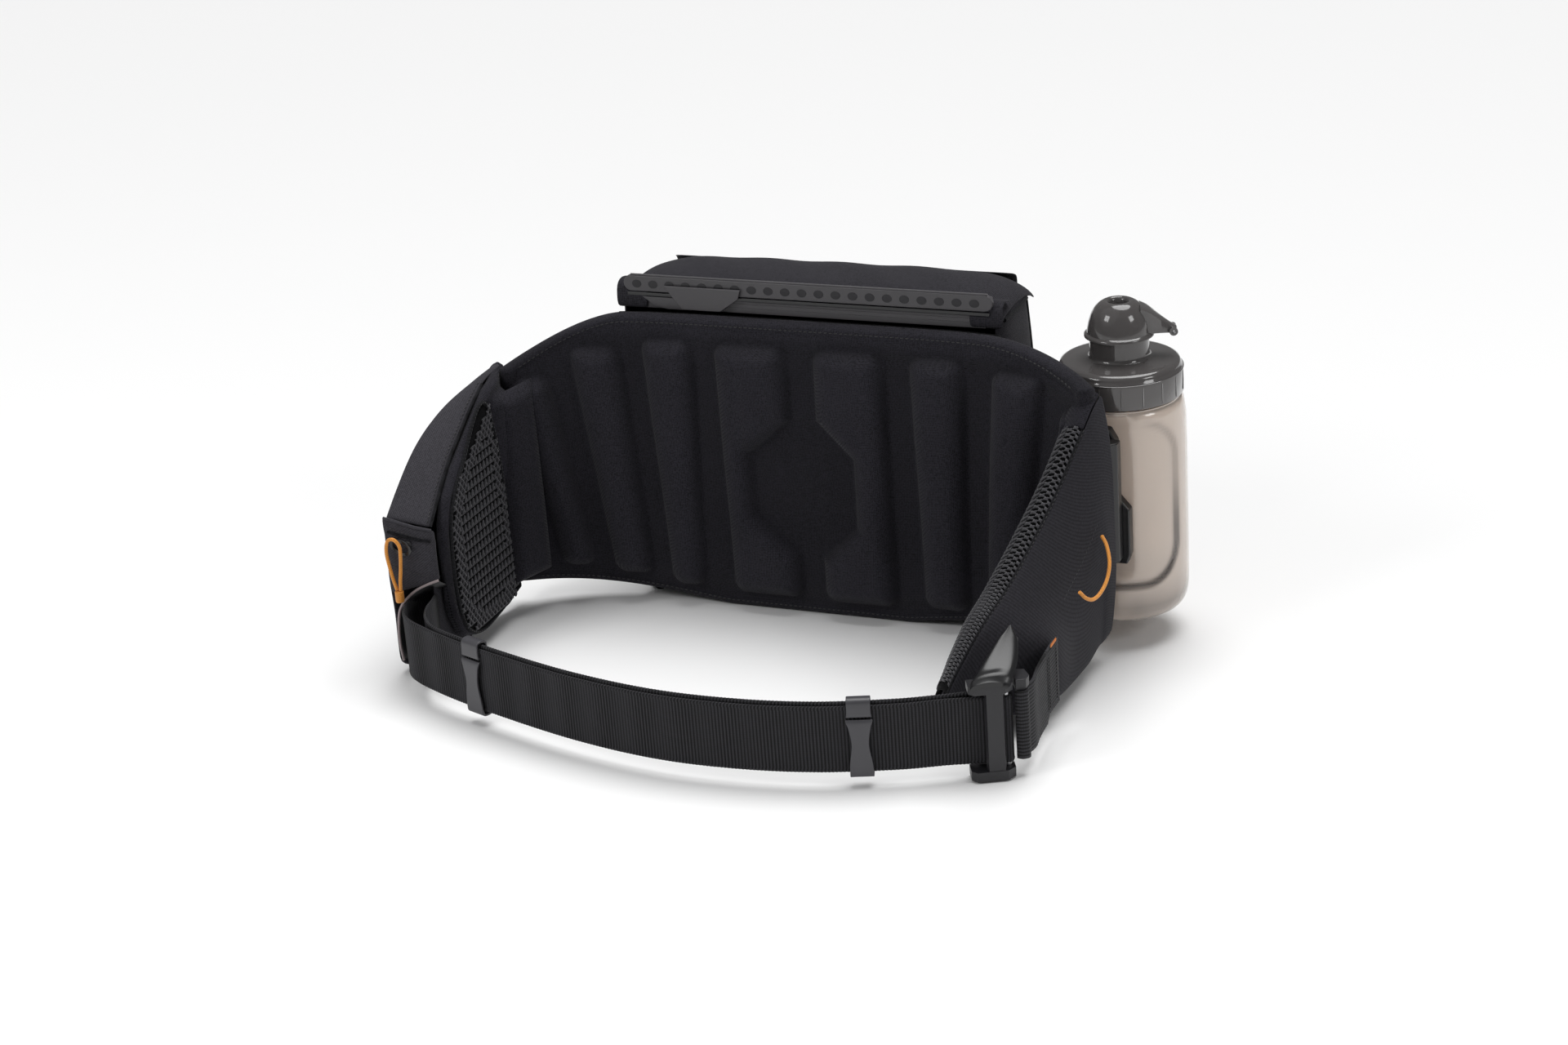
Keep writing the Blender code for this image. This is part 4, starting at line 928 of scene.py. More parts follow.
def wing_outline(y):
    """Foot and head of the left wing's foam at a place along it."""
    foot = np.interp(-y, [58, 77, 110, 136, 154, 162, 164.5], [16, 16, 12, 10, 17, 34, 56])
    head = np.interp(-y, [58, 77, 92, 141, 155, 161, 164.5], [160, 157.5, 154.5, 122, 108, 94, 68])
    return float(foot), float(head)


def wing_x(y):
    """Inner face of the left wing: it starts behind the panel's end."""
    return -183.0 - 6.5 * (1 - soft_step(-y, 62.0, 86.0))


def make_left_pad():
    """Foam of the wing: a raised end pad beside the panel and a border round the mesh."""
    front = []
    back = []
    rows = 90
    for y in np.concatenate([np.linspace(-60, -163, 84), [-163.9, -164.4]]):
        foot, head = wing_outline(y)
        z = foot + (head - foot) * np.linspace(0, 1, rows + 1)
        border = np.minimum(np.minimum(z - foot, head - z), 164.4 + y)
        roll = 3.6
        inward = roll - np.sqrt(np.maximum(0, roll ** 2 - np.maximum(0, roll - border) ** 2))
        flap_end = 82.0 + 13.0 * soft_step(z, 20, 146)
        flap = rounded_inside(np.full(z.shape, -y), z, 68.0, flap_end, 20.0, 150.0, 8.0)
        relief = pillow(flap, 8.0, 6.0)
        seam = 0.9 * bell(border, 4.6, 0.8) * soft_step(-y, 92, 96)
        front.append([Vector((wing_x(y) - d, y, h)) for d, h in zip(inward + seam - relief, z)])
        back.append([Vector((wing_x(y) - PAD_THICK + d, y, h)) for d, h in zip(inward, z)])
    pad = slab_object("left_wing_foam", front, back)
    finish_piece(pad, "panel", LEFT_SEAM, ("left_wing_pad",), 80)
    make_corner_pad()


def make_corner_pad():
    """Soft pad set across the corner between the panel and the wing."""
    start = Vector((-184.0, -89.0))
    end = Vector((-168.5, -64.0))
    across = end - start
    out = Vector((across.y, -across.x)).normalized()
    columns = 28
    rows = 70
    front = []
    back = []
    for f in np.linspace(0, 1, columns + 1):
        low = 22.0 + 4.0 * f
        high = 147.0 + 5.0 * f
        heights = np.linspace(low, high, rows + 1)
        spot = start + across * f
        inside = np.minimum(min(f, 1 - f) * across.length, np.minimum(heights - low, high - heights))
        lifts = pillow(inside, 9.0, 7.0) + 1.5 * arch(f) * arch(np.linspace(0, 1, rows + 1)) - 0.6
        front.append([Vector((*(spot + out * lift), z)) for lift, z in zip(lifts, heights)])
        back.append([Vector((*(spot - out * 1.6), z)) for z in heights])
    pad = slab_object("corner_pad", front, back)
    finish_piece(pad, "panel", LEFT_SEAM, (), 80)


def inside_polygon(y, z, outline):
    inside = False
    for (ay, az), (by, bz) in zip(outline, outline[1:] + outline[:1]):
        if (az > z) != (bz > z) and y < (by - ay) * (z - az) / (bz - az) + ay:
            inside = not inside
    return inside


def edge_gap(y, z, outline):
    """Distance to the nearest side of an outline."""
    best = 1e9
    for (ay, az), (by, bz) in zip(outline, outline[1:] + outline[:1]):
        dy = by - ay
        dz = bz - az
        t = max(0.0, min(1.0, ((y - ay) * dy + (z - az) * dz) / (dy ** 2 + dz ** 2)))
        best = min(best, math.hypot(y - ay - t * dy, z - az - t * dz))
    return best


def make_left_mesh():
    """Spacer mesh: a dark backing with rows of slanted yarns, denser beside the seam."""
    x = WING_X + 0.9
    edge = even_path([(y, z, 0) for y, z in MESH_EDGE + MESH_EDGE[:1]], 3.0)
    centre = (-122, 75)
    rows = []
    for f in (0.0, 0.35, 0.7, 0.93, 1.0):
        sink = 1.2 if f > 0.98 else 0.0
        rows.append([Vector((x - sink, centre[0] + (p.x - centre[0]) * f, centre[1] + (p.y - centre[1]) * f))
                     for p in edge])
    sheet("mesh_backing", rows, (0.6, -1.0, 0), "backing", "left_wing", ("left_wing_mesh",), 45)
    parts = []
    pitch_z = 5.9
    pitch_y = 4.3
    for i in range(26):
        z = 11 + i * pitch_z
        for j in range(20):
            y = -165 + j * pitch_y
            if not inside_polygon(y, z + 2, MESH_EDGE):
                continue
            gap = edge_gap(y, z + 2, MESH_EDGE)
            lean = 0.7 + 0.25 * random.random()
            if gap > 9 or y > -95:
                parts.append(capsule((x + 0.7, y - lean, z), (x + 0.9, y + lean, z + pitch_z * 0.80), 0.82))
                parts.append(capsule((x + 0.2, y + lean, z - 1.0), (x + 0.4, y + pitch_y * 0.6, z + 1.6), 0.6))
            else:
                for side in (-1.8, 1.8):
                    for along, up in ((0.0, -0.4), (2.1, 2.4)):
                        parts.append(capsule((x + 0.5, y - side + along, z + up),
                                             (x + 0.8, y + side + along, z + up + 3.6), 0.7))
        for j in range(40):
            y = -165 + j * pitch_y * 0.5
            if inside_polygon(y, z - 0.4, MESH_EDGE) and inside_polygon(y + 2.2, z - 0.4, MESH_EDGE):
                parts.append(capsule((x + 0.2, y - 0.3, z - 0.5), (x + 0.2, y + 2.6, z - 0.3), 0.55, 5))
    finish_piece(gather("mesh_yarns", parts), "yarn", "left_wing")
    welt = [(WING_X + 0.4, p.x, p.y) for p in edge]
    tube("mesh_welt", welt, 1.15, "binding", "left_wing", sides=8)
    stitches("mesh_stitches", [(WING_X + 1.5, p.x, p.y) for p in edge], "left_wing", 2.6, 1.7, 0.3)


POCKET_OUT = [(-62, -195.5, 158), (-76, -196.5, 157), (-88, -199.5, 154.5), (-104, -206.5, 149.5),
              (-120, -211.5, 143.0), (-136, -214.6, 134.5), (-150, -216.4, 124.5), (-164, -217.6, 112.5),
              (-177.0, -218.0, 101.5)]
POCKET_IN = [(-62, 158.5), (-76, 157.5), (-88, 155.0), (-104, 147.0), (-120, 136.5), (-136, 126.0),
             (-150, 114.0), (-160, 103.0), (-168.5, 94.0)]


def make_left_pocket():
    """Soft outer shell of the left pocket, from the wing's seam over the rim and down to the foot."""
    rows = []
    outer = smooth_path(POCKET_OUT, 4)
    inner = smooth_path([(y, -190.5, z) for y, z in POCKET_IN], 4)
    for i, (p, q) in enumerate(zip(outer, inner)):
        f = i / (len(outer) - 1)
        rim = Vector((p.y, p.x, p.z))
        seam = Vector((q.y, q.x, q.z))
        row = []
        for t in np.linspace(0, 1, 9)[:-1]:
            swell = 2.6 * arch(t) * arch(min(1, 0.15 + 0.85 * f))
            row.append(seam.lerp(rim, t) + above(swell))
        foot = 6.0 + 10.0 * (1 - soft_step(-rim.y, 60, 84))
        for k in range(15):
            t = k / 14
            fall = rim.z + (foot - rim.z) * t
            over = 2.2 * arch(min(1.0, t * 1.05)) * arch(min(1, 0.1 + 0.9 * f))
            crease = 0.5 * math.sin(fall * 0.12 + rim.y * 0.07) * arch(t)
            shoulder = 2.4 * math.exp(-t * 9)
            row.append(Vector((rim.x - over - crease + shoulder, rim.y, fall - (0 if k else 1.0))))
        row.append(Vector((rim.x + 5, rim.y, foot - 1.2)))
        row.append(Vector((-192.5, rim.y, foot - 0.6)))
        rows.append(row)
    sheet("left_pocket_shell", rows, (1.4, -1.0, 1), "grey", LEFT_SEAM,
          ("left_pocket_wall", "left_pocket_top", "left_pocket_base"))
    seam_line = [(-190.2, y, z + 0.6) for y, z in POCKET_IN[2:]]
    tube("pocket_seam", seam_line, 0.9, "binding", "left_wing", sides=8)
    beside = [(x - 2.4, y, z + 1.3) for x, y, z in seam_line]
    stitches("pocket_seam_stitches", beside, "left_wing", 2.8, 1.9, 0.3)


def make_left_end():
    """Front end of the left pocket: flap, end face with its seams, and the sleeve's mouth."""
    y = -171.6
    rows = []
    for t in np.linspace(0, 1, 13):
        row = []
        for f in np.linspace(0, 1, 11):
            x = -217.8 + 30.0 * f
            high = 101.5 - 9.0 * f
            low = 52.0 + 8.0 * f
            z = high + (low - high) * t
            bulge = 1.8 * arch(f) * arch(t)
            crease = 0.9 * bell(t, 0.24, 0.045)
            tuck = 2.88 * (f > 0.99) + 0.96 * (0.93 > f > 0.87)
            row.append(Vector((x, y - 5.6 * (1 - f) - bulge + crease + tuck, z)))
        rows.append(row)
    sheet("left_end_face", rows, (1.3, 1.0, 1), "grey", "left_wing",
          ("left_pocket_end", "left_zip_flap"))
    rim = [(-217.0, y - 5.0, 101.0), (-208, y - 4.4, 99.0), (-198, y - 2.6, 95.8), (-189.0, y + 1.2, 93.0)]
    tube("left_end_piping", rim, 1.0, "grey", "left_wing", sides=8)
    slot_line = [(-215, y - 5.6, 92.6), (-206, y - 4.8, 90.4), (-196, y - 2.8, 87.6), (-189.5, y + 0.2, 86.0)]
    tube("left_zip_lip", slot_line, 0.8, "binding", "left_wing", sides=8)
    for k, drop in enumerate((2.4, 27.0)):
        line = [(-215.5, y - 6.0, 98.4 - drop), (-204, y - 4.9, 94.6 - drop), (-192, y - 1.8, 91.0 - drop)]
        stitches(f"left_end_stitches_{k}", line, "left_wing", 2.4, 1.6, 0.28)
    lining = [[Vector((-191.6 - 0.6 * math.sin(t * 5 + y * 0.2), y, 8 + 52 * t))
               for y in np.linspace(-170.5, -112, 10)] for t in np.linspace(0, 1, 7)]
    sheet("sleeve_lining", lining, (0.8, -1.0, 1), "black", "left_wing", smooth=45)


def make_sleeve_rim():
    """Thin bound edge of the sleeve: it curls round the webbing at the wing's front."""
    edge = even_path([(-188.5, -169.6, 60.5), (-193.5, -172.5, 59.0), (-200.5, -175.2, 55.6),
                      (-207, -177.2, 50.2), (-212.2, -178.2, 43.0), (-214.6, -178.4, 32),
                      (-215.4, -178.0, 20), (-214.8, -177.4, 8.5)], 2.0)
    cuff = []
    cloth = []
    for i, p in enumerate(edge):
        f = i / (len(edge) - 1)
        inward = Vector((0.35, 0.55, -0.75)).lerp(Vector((0.72, 0.69, 0.0)), soft_step(f, 0.15, 0.5))
        cuff.append([p, p + inward * 2.0, p + inward * 5.0 + Vector((0, 1.0, 0)),
                     p + inward * 9.0 + Vector((-0.6, 3.0, 0))])
        cloth.append([p + Vector((-0.9, 5.5, 1.0 * (1 - f))), p + Vector((-1.3, 2.5, 0.8 * (1 - f))), p])
    sheet("sleeve_cuff", cuff, (0.9, 1.0, 1), "dark_plastic", "left_wing",
          ("left_sleeve_binding",))
    sheet("sleeve_edge_cloth", cloth, (0.7, 1.0, 1), "grey", "left_wing", smooth=45)
    tube("sleeve_rim", edge, 0.85, "rim", "left_wing", sides=8)


# ---------------------------------------------------------------- cords

LEFT_CORD = [(-209.8, -182.8, 57.8), (-211.4, -182.8, 64), (-213.6, -182.2, 74), (-214.4, -182.0, 82),
             (-212.6, -182.0, 88.8), (-208.6, -181.8, 90.0), (-205.4, -181.4, 86.0),
             (-204.8, -182.4, 80), (-205.6, -182.6, 72), (-206.8, -182.8, 64), (-207.4, -182.8, 57.8)]
RIGHT_CORD = [(196.6, -84, 90), (200.5, -88, 86), (204, -95, 79), (204.5, -102, 72), (203, -110, 67),
              (201, -118, 66), (198.6, -124, 69), (196, -127.5, 74)]
CORD_RADIUS = 1.1


def free_cord(name, points, node, body):
    """Orange cord of the same route as its solid."""
    route = smooth_path(points, 4)
    curve = bpy.data.curves.new(name, "CURVE")
    curve.dimensions = "3D"
    curve.bevel_depth = CORD_RADIUS * MM
    curve.bevel_resolution = 4
    curve.use_fill_caps = True
    spline = curve.splines.new("POLY")
    spline.points.add(len(route) - 1)
    for spot, p in zip(spline.points, route):
        spot.co = (*(p * MM), 1.0)
    obj = bpy.data.objects.new(name, curve)
    bpy.context.scene.collection.objects.link(obj)
    curve.materials.append(MATS["cord"])
    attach(obj, body)
    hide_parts(node)
    return obj


def make_cords():
    free_cord("left_cord", LEFT_CORD, "left_pull_cord", "left_zip")
    free_cord("right_cord", RIGHT_CORD, "right_finger_loop", "right_wing")


# ---------------------------------------------------------------- right wing

RIGHT_SEAM = ("pack", "right_wing", (0.188, -0.066, 0.08), (0.188, -0.088, 0.08))
RIGHT_TOP = [(183.5, -60, 166), (181.5, -70, 160), (179, -77, 150), (170, -96, 122), (161, -120, 98),
             (152.5, -144, 78), (145.5, -160, 65), (138, -171, 48), (130, -179, 28)]
RIGHT_FOOT = [(192.5, -60, 18), (191.5, -70, 17), (190, -77, 16), (189, -92, 13), (187, -112, 12),
              (185, -130, 12), (182, -146, 13), (176, -160, 14), (165, -171, 15)]


def right_stations(steps):
    """Top edge, foot and outward direction of the right wing at each station."""
    top = smooth_path(RIGHT_TOP, steps)
    foot = smooth_path(RIGHT_FOOT, steps)
    made = []
    for i, (p, q) in enumerate(zip(top, foot)):
        step = step_at(top, i)
        side = Vector((-step.y, step.x, 0)).normalized()
        side = side if side.x > 0 else -side
        made.append((p, q, side, i / (len(top) - 1)))
    return made


def right_shell_point(p, q, side, f, t):
    """Point of the outer shell: t runs from the seam at the top edge to the foot."""
    start = p + side * 7.6 + above(1.2)
    swell = arch(t) ** 0.8 * (6.5 * (1.0 - 0.5 * f) + 9.0 * bell(f, 0.70, 0.15))
    ripple = 0.7 * math.sin(t * 9 + f * 14) * arch(t)
    return start.lerp(q, t) + Vector((0.85, 0.0, 0.45)) * (swell + ripple)


def make_right_wing():
    """Foam wing folded in, its mesh edge rolled over the top, and the pocket's twill shell."""
    stations = right_stations(6)
    foam_front = []
    foam_back = []
    for p, q, side, f in stations:
        low = 12.0 + 4.0 * abs(f - 0.4)
        thick = 6.0 - 3.0 * f ** 3
        heights = np.linspace(low, p.z, 14)
        near_edge = np.clip(1 - np.minimum(heights - low, p.z - heights) / 3.0, 0, 1)
        round_off = 2.4 * (1 - np.sqrt(1 - near_edge ** 2))
        foam_front.append([Vector((p.x, p.y, h)) + side * r for h, r in zip(heights, round_off)])
        foam_back.append([Vector((p.x, p.y, h)) + side * (thick - r) for h, r in zip(heights, round_off)])
    foam = slab_object("right_wing_foam", foam_front, foam_back)
    finish_piece(foam, "black", RIGHT_SEAM, ("right_wing_pad",), 80)
    shell_rows = []
    for p, q, side, f in stations:
        row = [right_shell_point(p, q, side, f, t) for t in np.linspace(0, 1, 25)]
        under = row[-1] - side * 5.0
        row.append(Vector((under.x, under.y, row[-1].z - 1.0)))
        row.append(Vector((under.x - side.x * 8, under.y - side.y * 8, row[-1].z + 0.4)))
        shell_rows.append(row)
    sheet("right_pocket_cloth", shell_rows, (1.4, -1.0, 1), "twill", RIGHT_SEAM,
          replaced=("right_pocket_shell",))
    tip = []
    p, q, side, f = stations[-1]
    for t in np.linspace(0, 1, 9):
        outer = right_shell_point(p, q, side, f, t * 0.98)
        inner = Vector((p.x + side.x * 2, p.y + side.y * 2, outer.z))
        tip.append([outer.lerp(inner, k / 5) + Vector((0, -0.8 * arch(k / 5), 0)) for k in range(6)])
    sheet("right_tip_cloth", tip, (1.0, 1.0, 1), "twill", "right_wing", smooth=45)
    profile = ((-11.5, -20.0), (-12.2, -11.5), (-9.4, -4.4), (-4.0, 0.8), (1.4, 2.6), (5.2, 2.5), (7.6, 1.2))
    roll = [[p + side * out + above(up) for out, up in profile] for p, q, side, f in stations]
    mesh_start = next(i for i, station in enumerate(stations) if station[3] >= 0.24)
    sheet("right_edge_band", roll[:mesh_start + 1], (0.9, 1.0, 1), "panel", RIGHT_SEAM)
    mesh = roll[mesh_start:]
    sheet("right_edge_mesh", mesh, (0.9, 1.0, 1), "backing", "right_wing", ("right_wing_mesh",))
    inner = [[row[0]] + [Vector((row[0].x, row[0].y, h)) for h in np.linspace(row[0].z - 3, 20, 6)]
             for row in mesh]
    sheet("right_inner_mesh", inner, (0.8, 1.0, 0), "backing", "right_wing", smooth=45)
    make_right_yarns(mesh)
    seam = [row[-1] + above(0.5) for row in mesh]
    tube("right_edge_piping", seam, 0.9, "binding", "right_wing", sides=8)
    stitches("right_edge_stitches", [p + Vector((0.9, 0, 0.6)) for p in seam], "right_wing", 2.8, 1.9, 0.32)


def make_right_yarns(rows):
    """Criss-cross yarns over the rolled edge."""
    parts = []
    count = len(rows)
    around = len(rows[0]) - 1

    def spot(u, v):
        i = min(count - 2, int(u))
        j = min(around - 1, int(v))
        a = rows[i][j].lerp(rows[i][j + 1], v - j)
        b = rows[i + 1][j].lerp(rows[i + 1][j + 1], v - j)
        here = a.lerp(b, u - i)
        return here + Vector((-0.25, -0.35, 0.9)) * 0.8

    pitch = 0.62
    steps = int((count - 2) / pitch)
    for k in range(steps):
        for lane in range(7):
            v = 0.6 + lane * 0.88
            u = k * pitch + (lane % 2) * pitch / 2
            if u + pitch > count - 1.05 or v + 0.88 > around:
                continue
            parts.append(capsule(spot(u, v), spot(u + pitch * 0.5, v + 0.88), 0.75))
            parts.append(capsule(spot(u + pitch * 0.5, v), spot(u, v + 0.88), 0.75))
    finish_piece(gather("right_mesh_yarns", parts), "yarn", "right_wing")


def make_right_seams():
    """The shell's slanting seam: a raised fold with stitches beside it."""
    stations = right_stations(6)

    def on_shell(f, t):
        i = min(len(stations) - 1, max(0, round(f * (len(stations) - 1))))
        p, q, side, share = stations[i]
        return right_shell_point(p, q, side, share, t) + Vector((0.85, -0.2, 0.45)) * 0.8

    line = [on_shell(0.27 + 0.53 * k / 12, 0.40 + 0.10 * k / 12) for k in range(13)]
    tube("right_zip_fold", smooth_path(line, 3), 0.55, "binding", "right_wing", sides=8)
    stitches("right_zip_stitches", [p + Vector((0.8, 0, -1.8)) for p in line], "right_wing", 2.8, 1.9, 0.28)


def stub_plan():
    lead = [(187.5, -146, 0), (187.3, -158, 0), (187.5, -170, 0), (188.2, -184, 0), (189.6, -196.0, 0)]
    fold = [tuple(buckle_point(s, n, 0))
            for s, n in ((18.9, -3.0), (18.7, 1.2), (16.6, 3.0), (13.6, 3.0), (11.9, 1.4))]
    return even_path(lead + fold, 1.6)


def make_stub():
    """Webbing sewn to the right wing, with rows of stitches and a bar tack."""
    path = stub_plan()
    rows = []
    for i, p in enumerate(path):
        f = i / (len(path) - 1)
        low = 15.0 - 4.0 * soft_step(f, 0.25, 0.32)
        high = 54.5 - 3.5 * f
        along = tangent(path, i)
        side = Vector((-along.y, along.x, 0))
        rib = 0.18 * (i % 2)
        rows.append([Vector((p.x, p.y, low + (high - low) * k / 12)) - side * rib for k in range(13)])
    sheet("stub_webbing", rows, (1.5, 0.0, 0), "web", "right_wing", ("strap_stub",))
    for name, f in (("stub_stitches_a", 0.22), ("stub_stitches_b", 0.27), ("stub_stitches_c", 0.05)):
        p = path[round(f * (len(path) - 1))]
        line = [(p.x + 0.9, p.y - 0.4, h) for h in np.linspace(18, 50, 10)]
        stitches(name, line, "right_wing", 2.2, 1.6, 0.4)
    tack = [Vector((188.2, -150.0 - 1.1 * k, 53.2)) for k in range(9)]
    parts = [capsule(a, a + Vector((0.3, -0.4, 2.6)), 0.45, 5) for a in tack]
    finish_piece(gather("stub_bar_tack", parts), "orange_thread", "right_wing")


# ---------------------------------------------------------------- belt and buckle

BELT_PATH = [(-206.4, -130), (-207, -150), (-207.2, -166), (-207, -176), (-206, -184), (-196, -200),
             (-170, -214.5), (-130, -230), (-68, -249), (-12, -259), (37, -259), (82, -252), (124, -238),
             (150, -225.5), (170, -215.5)]
BACK_LEAD = [(-197.5, -130), (-196, -150), (-194.2, -164), (-191, -177), (-188.5, -189), (-181.5, -202)]
BACK_JOINS = 6
LAYER_PITCH = 1.9
BELT_SEAM = ("left_wing", "belt", (-0.200, -0.172, 0.03), (-0.200, -0.188, 0.03))


def buckle_point(s, n, z):
    """Point at s along the belt, n outwards from it and z up, from the buckle's centre."""
    along = spoke(1, BUCKLE_ANGLE, 0)
    out = Vector((math.sin(BUCKLE_ANGLE), -math.cos(BUCKLE_ANGLE), 0))
    return BUCKLE + along * s + out * n + above(z)


def strap(name, plan, lift, body, replaced):
    """Webbing with real ribs across it and thicker woven edges."""
    spacing = 0.7
    rib_pitch = 2.1
    path = even_path([(x, y, 0) for x, y in plan], spacing)
    low_edge = [(0, -0.5), (0.5, 0.05), (1.6, 0.2), (2.6, 0.0)]
    high_edge = [(37.4, 0.0), (38.4, 0.2), (39.5, 0.05), (40, -0.5)]
    heights = low_edge + [(h, 0) for h in (8, 14, 20, 26, 32)] + high_edge
    front = []
    back = []
    for i, p in enumerate(path):
        along = tangent(path, i)
        side = Vector((-along.y, along.x, 0))
        rib = 0.24 * math.sin(2 * math.pi * i * spacing / rib_pitch)
        wave = 0.1 * math.sin(i * 0.021)
        spots = [(Vector((p.x, p.y, WEB_LOW + lift + h + (wave if h > 20 else -wave))), rib + swell)
                 for h, swell in heights]
        front.append([spot - side * (out + 0.05) for spot, out in spots])
        back.append([spot + side * (out + 1.4) for spot, out in spots])
    obj = slab_object(name, front, back)
    layer = obj.data.uv_layers["UVMap"].data
    uvs = np.empty(len(layer) * 2, dtype=np.float32)
    layer.foreach_get("uv", uvs)
    layer.foreach_set("uv", uvs.reshape(-1, 2)[:, ::-1].ravel())
    finish_piece(obj, "web", body, replaced, 80)


def back_plan():
    """Plan of the back layer: its own lead out of the sleeve, then beside the front layer."""
    front = [Vector(p) for p in BELT_PATH]
    path = [Vector(p) for p in BACK_LEAD]
    for i in range(BACK_JOINS, len(front)):
        along = tangent(front, i)
        path.append(front[i] + Vector((-along.y, along.x)) * LAYER_PITCH)
    return [(p.x, p.y) for p in path]


def make_belt():
    """Front and back layers of the belt; the front one folds round the buckle's pin."""
    def plan(*spots):
        return [tuple(buckle_point(s, n, 0).xy) for s, n in spots]

    fold = plan(*((6.8 + 3.4 * math.cos(turn), -0.9 - 3.2 * math.sin(turn))
                  for turn in np.linspace(-math.pi / 2, math.pi / 2, 7)))
    near = [(x, y) for x, y in BELT_PATH if x < 165]
    front = near + plan((-4, 1.0)) + fold + plan((0, -4.6), (-9, -4.8))
    strap("belt_front", front, 0.0, BELT_SEAM, ("belt_front_layer", "belt_anchor_outer"))
    back = back_plan()[:-1] + plan((-11, -3.4))
    strap("belt_back", back, BACK_LIFT, BELT_SEAM, ("belt_back_layer", "belt_anchor_inner"))


def make_lever():
    """Leaf-shaped lever: a rolled lip at the front, crowned, and drawn up into a blunt tip."""
    top = []
    under = []
    for i in range(29):
        f = i / 28
        w = -8.0 + 31.0 * f
        left = -13.5 + 24.0 * f ** 1.3
        right = 8.0 + 9.5 * math.sin(f * math.pi / 2) ** 0.8 - 2.5 * max(0.0, f - 0.85) / 0.15
        if f > 0.85:
            left += 2.5 * (f - 0.85) / 0.15
        rise = 59.6 + 17.0 * f ** 1.5 - 2.6 * bell(f, 0, 0.07)
        thick = 3.2 - 1.2 * f
        line = []
        below = []
        for k in range(17):
            g = k / 16
            edge = 1.0 - math.sqrt(max(0.0, 1.0 - max(0.0, 1.0 - min(g, 1 - g) / 0.14) ** 2))
            side = left + (right - left) * g
            crown = 2.4 * arch(g)
            hollow = -1.1 * bell(g, 0.5, 0.25) * soft_step(f, 0.1, 0.3)
            line.append(buckle_point(side, -w, rise + crown + hollow + thick * 0.5 * (1 - edge)))
            below.append(buckle_point(side, -w, rise + crown - thick * 0.5 * (1 - edge)))
        top.append(line)
        under.append(below)
    lever = slab_object("lever_leaf", top, under)
    finish_piece(lever, "dark_plastic", "lever", ("buckle_lever",), 50)


def make_keeper(node, body):
    """Spring clip round the webbing; its outer tongue is waisted and flares at the ends."""
    low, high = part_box(node)
    centre = (Vector(low) + Vector(high)) / 2 / MM
    path = smooth_path([Vector((x, y, 0)) for x, y in BELT_PATH], 6)
    near = min(range(1, len(path) - 1), key=lambda i: abs(path[i].x - centre.x))
    share = (centre.x - path[near - 1].x) / max(1e-6, path[near + 1].x - path[near - 1].x)
    spot = path[near - 1].lerp(path[near + 1], share)
    along = tangent(path, near)
    out = Vector((along.y, -along.x, 0))
    section = [(1.5, 41.5), (2.4, 39.0), (2.5, 30.0), (2.5, 18.0), (2.3, 9.4), (1.4, 7.4), (-1.6, 6.9),
               (-4.8, 7.4), (-5.7, 10.0), (-5.7, 28.0), (-5.7, 49.0), (-4.6, 52.0), (-2.0, 52.8), (0.8, 52.2),
               (1.5, 49.8), (1.6, 45.0), (1.5, 42.8)]
    loop = even_path([(n, z, 0) for n, z in section], 1.0)
    rows = []
    for p in loop:
        waist = 1.0 - 0.28 * bell(p.y, 27.0, 9.0) if p.x > 0 else 1.0
        half = 6.6 * waist + 1.0 * bell(p.y, 41.0, 2.5)
        rows.append([spot + out * p.x + along * (half * g) + above(p.y)
                     for g in (-1.0, -0.94, -0.8, -0.4, 0.0, 0.4, 0.8, 0.94, 1.0)])
    sheet(f"{node}_clip", rows, (1.3, 0.0, 1), "keeper", body, (node,), 60)


# ---------------------------------------------------------------- bottle

def bottle_surface(turn, z):
    """Radius of the bottle at a turn from the pack's side, and its painted shade: along a moulded step, stronger
    on the right side and low down, and on the lower sides.
    """
    radius = float(np.interp(z, [16, 17.2, 19.5, 23, 30, 60, 120, 138, 146, 149.5, 151],
                             [24, 31, 34.6, 36.6, 37.8, 38, 38, 37.7, 36.6, 34.2, 31.5]))
    arc = abs(math.degrees(turn))
    inside = rounded_inside(arc * 0.66, z, -49.0, 49.0, 40.0, 143.0, 26.0)
    sink = 1.9 * soft_step(inside, 0.0, 3.2)
    chord = 32.0 / max(0.2, math.cos(turn)) if arc < 60 else 99.0
    flat = soft_step(z, 46, 50) * (1 - soft_step(z, 146, 149))
    round_part = radius - sink
    if chord < round_part:
        round_part += (chord - round_part) * flat
    # Painted shade: the step edge is darkened, more on the right side and low down, and the lower sides are
    # darkened too.
    step = bell(inside, 1.6, 2.2)
    low = 1.0 - soft_step(z, 70.0, 110.0)
    right = soft_step(math.degrees(turn), 20.0, 50.0) * (0.35 + 0.65 * low)
    foot = 1.0 - soft_step(z, 46.0, 58.0)
    painted_low_side_shade = 0.28 * (1.0 - soft_step(z, 30.0, 46.0)) * soft_step(arc, 8.0, 30.0)
    return round_part, max(step * max(0.05, right, foot), painted_low_side_shade)


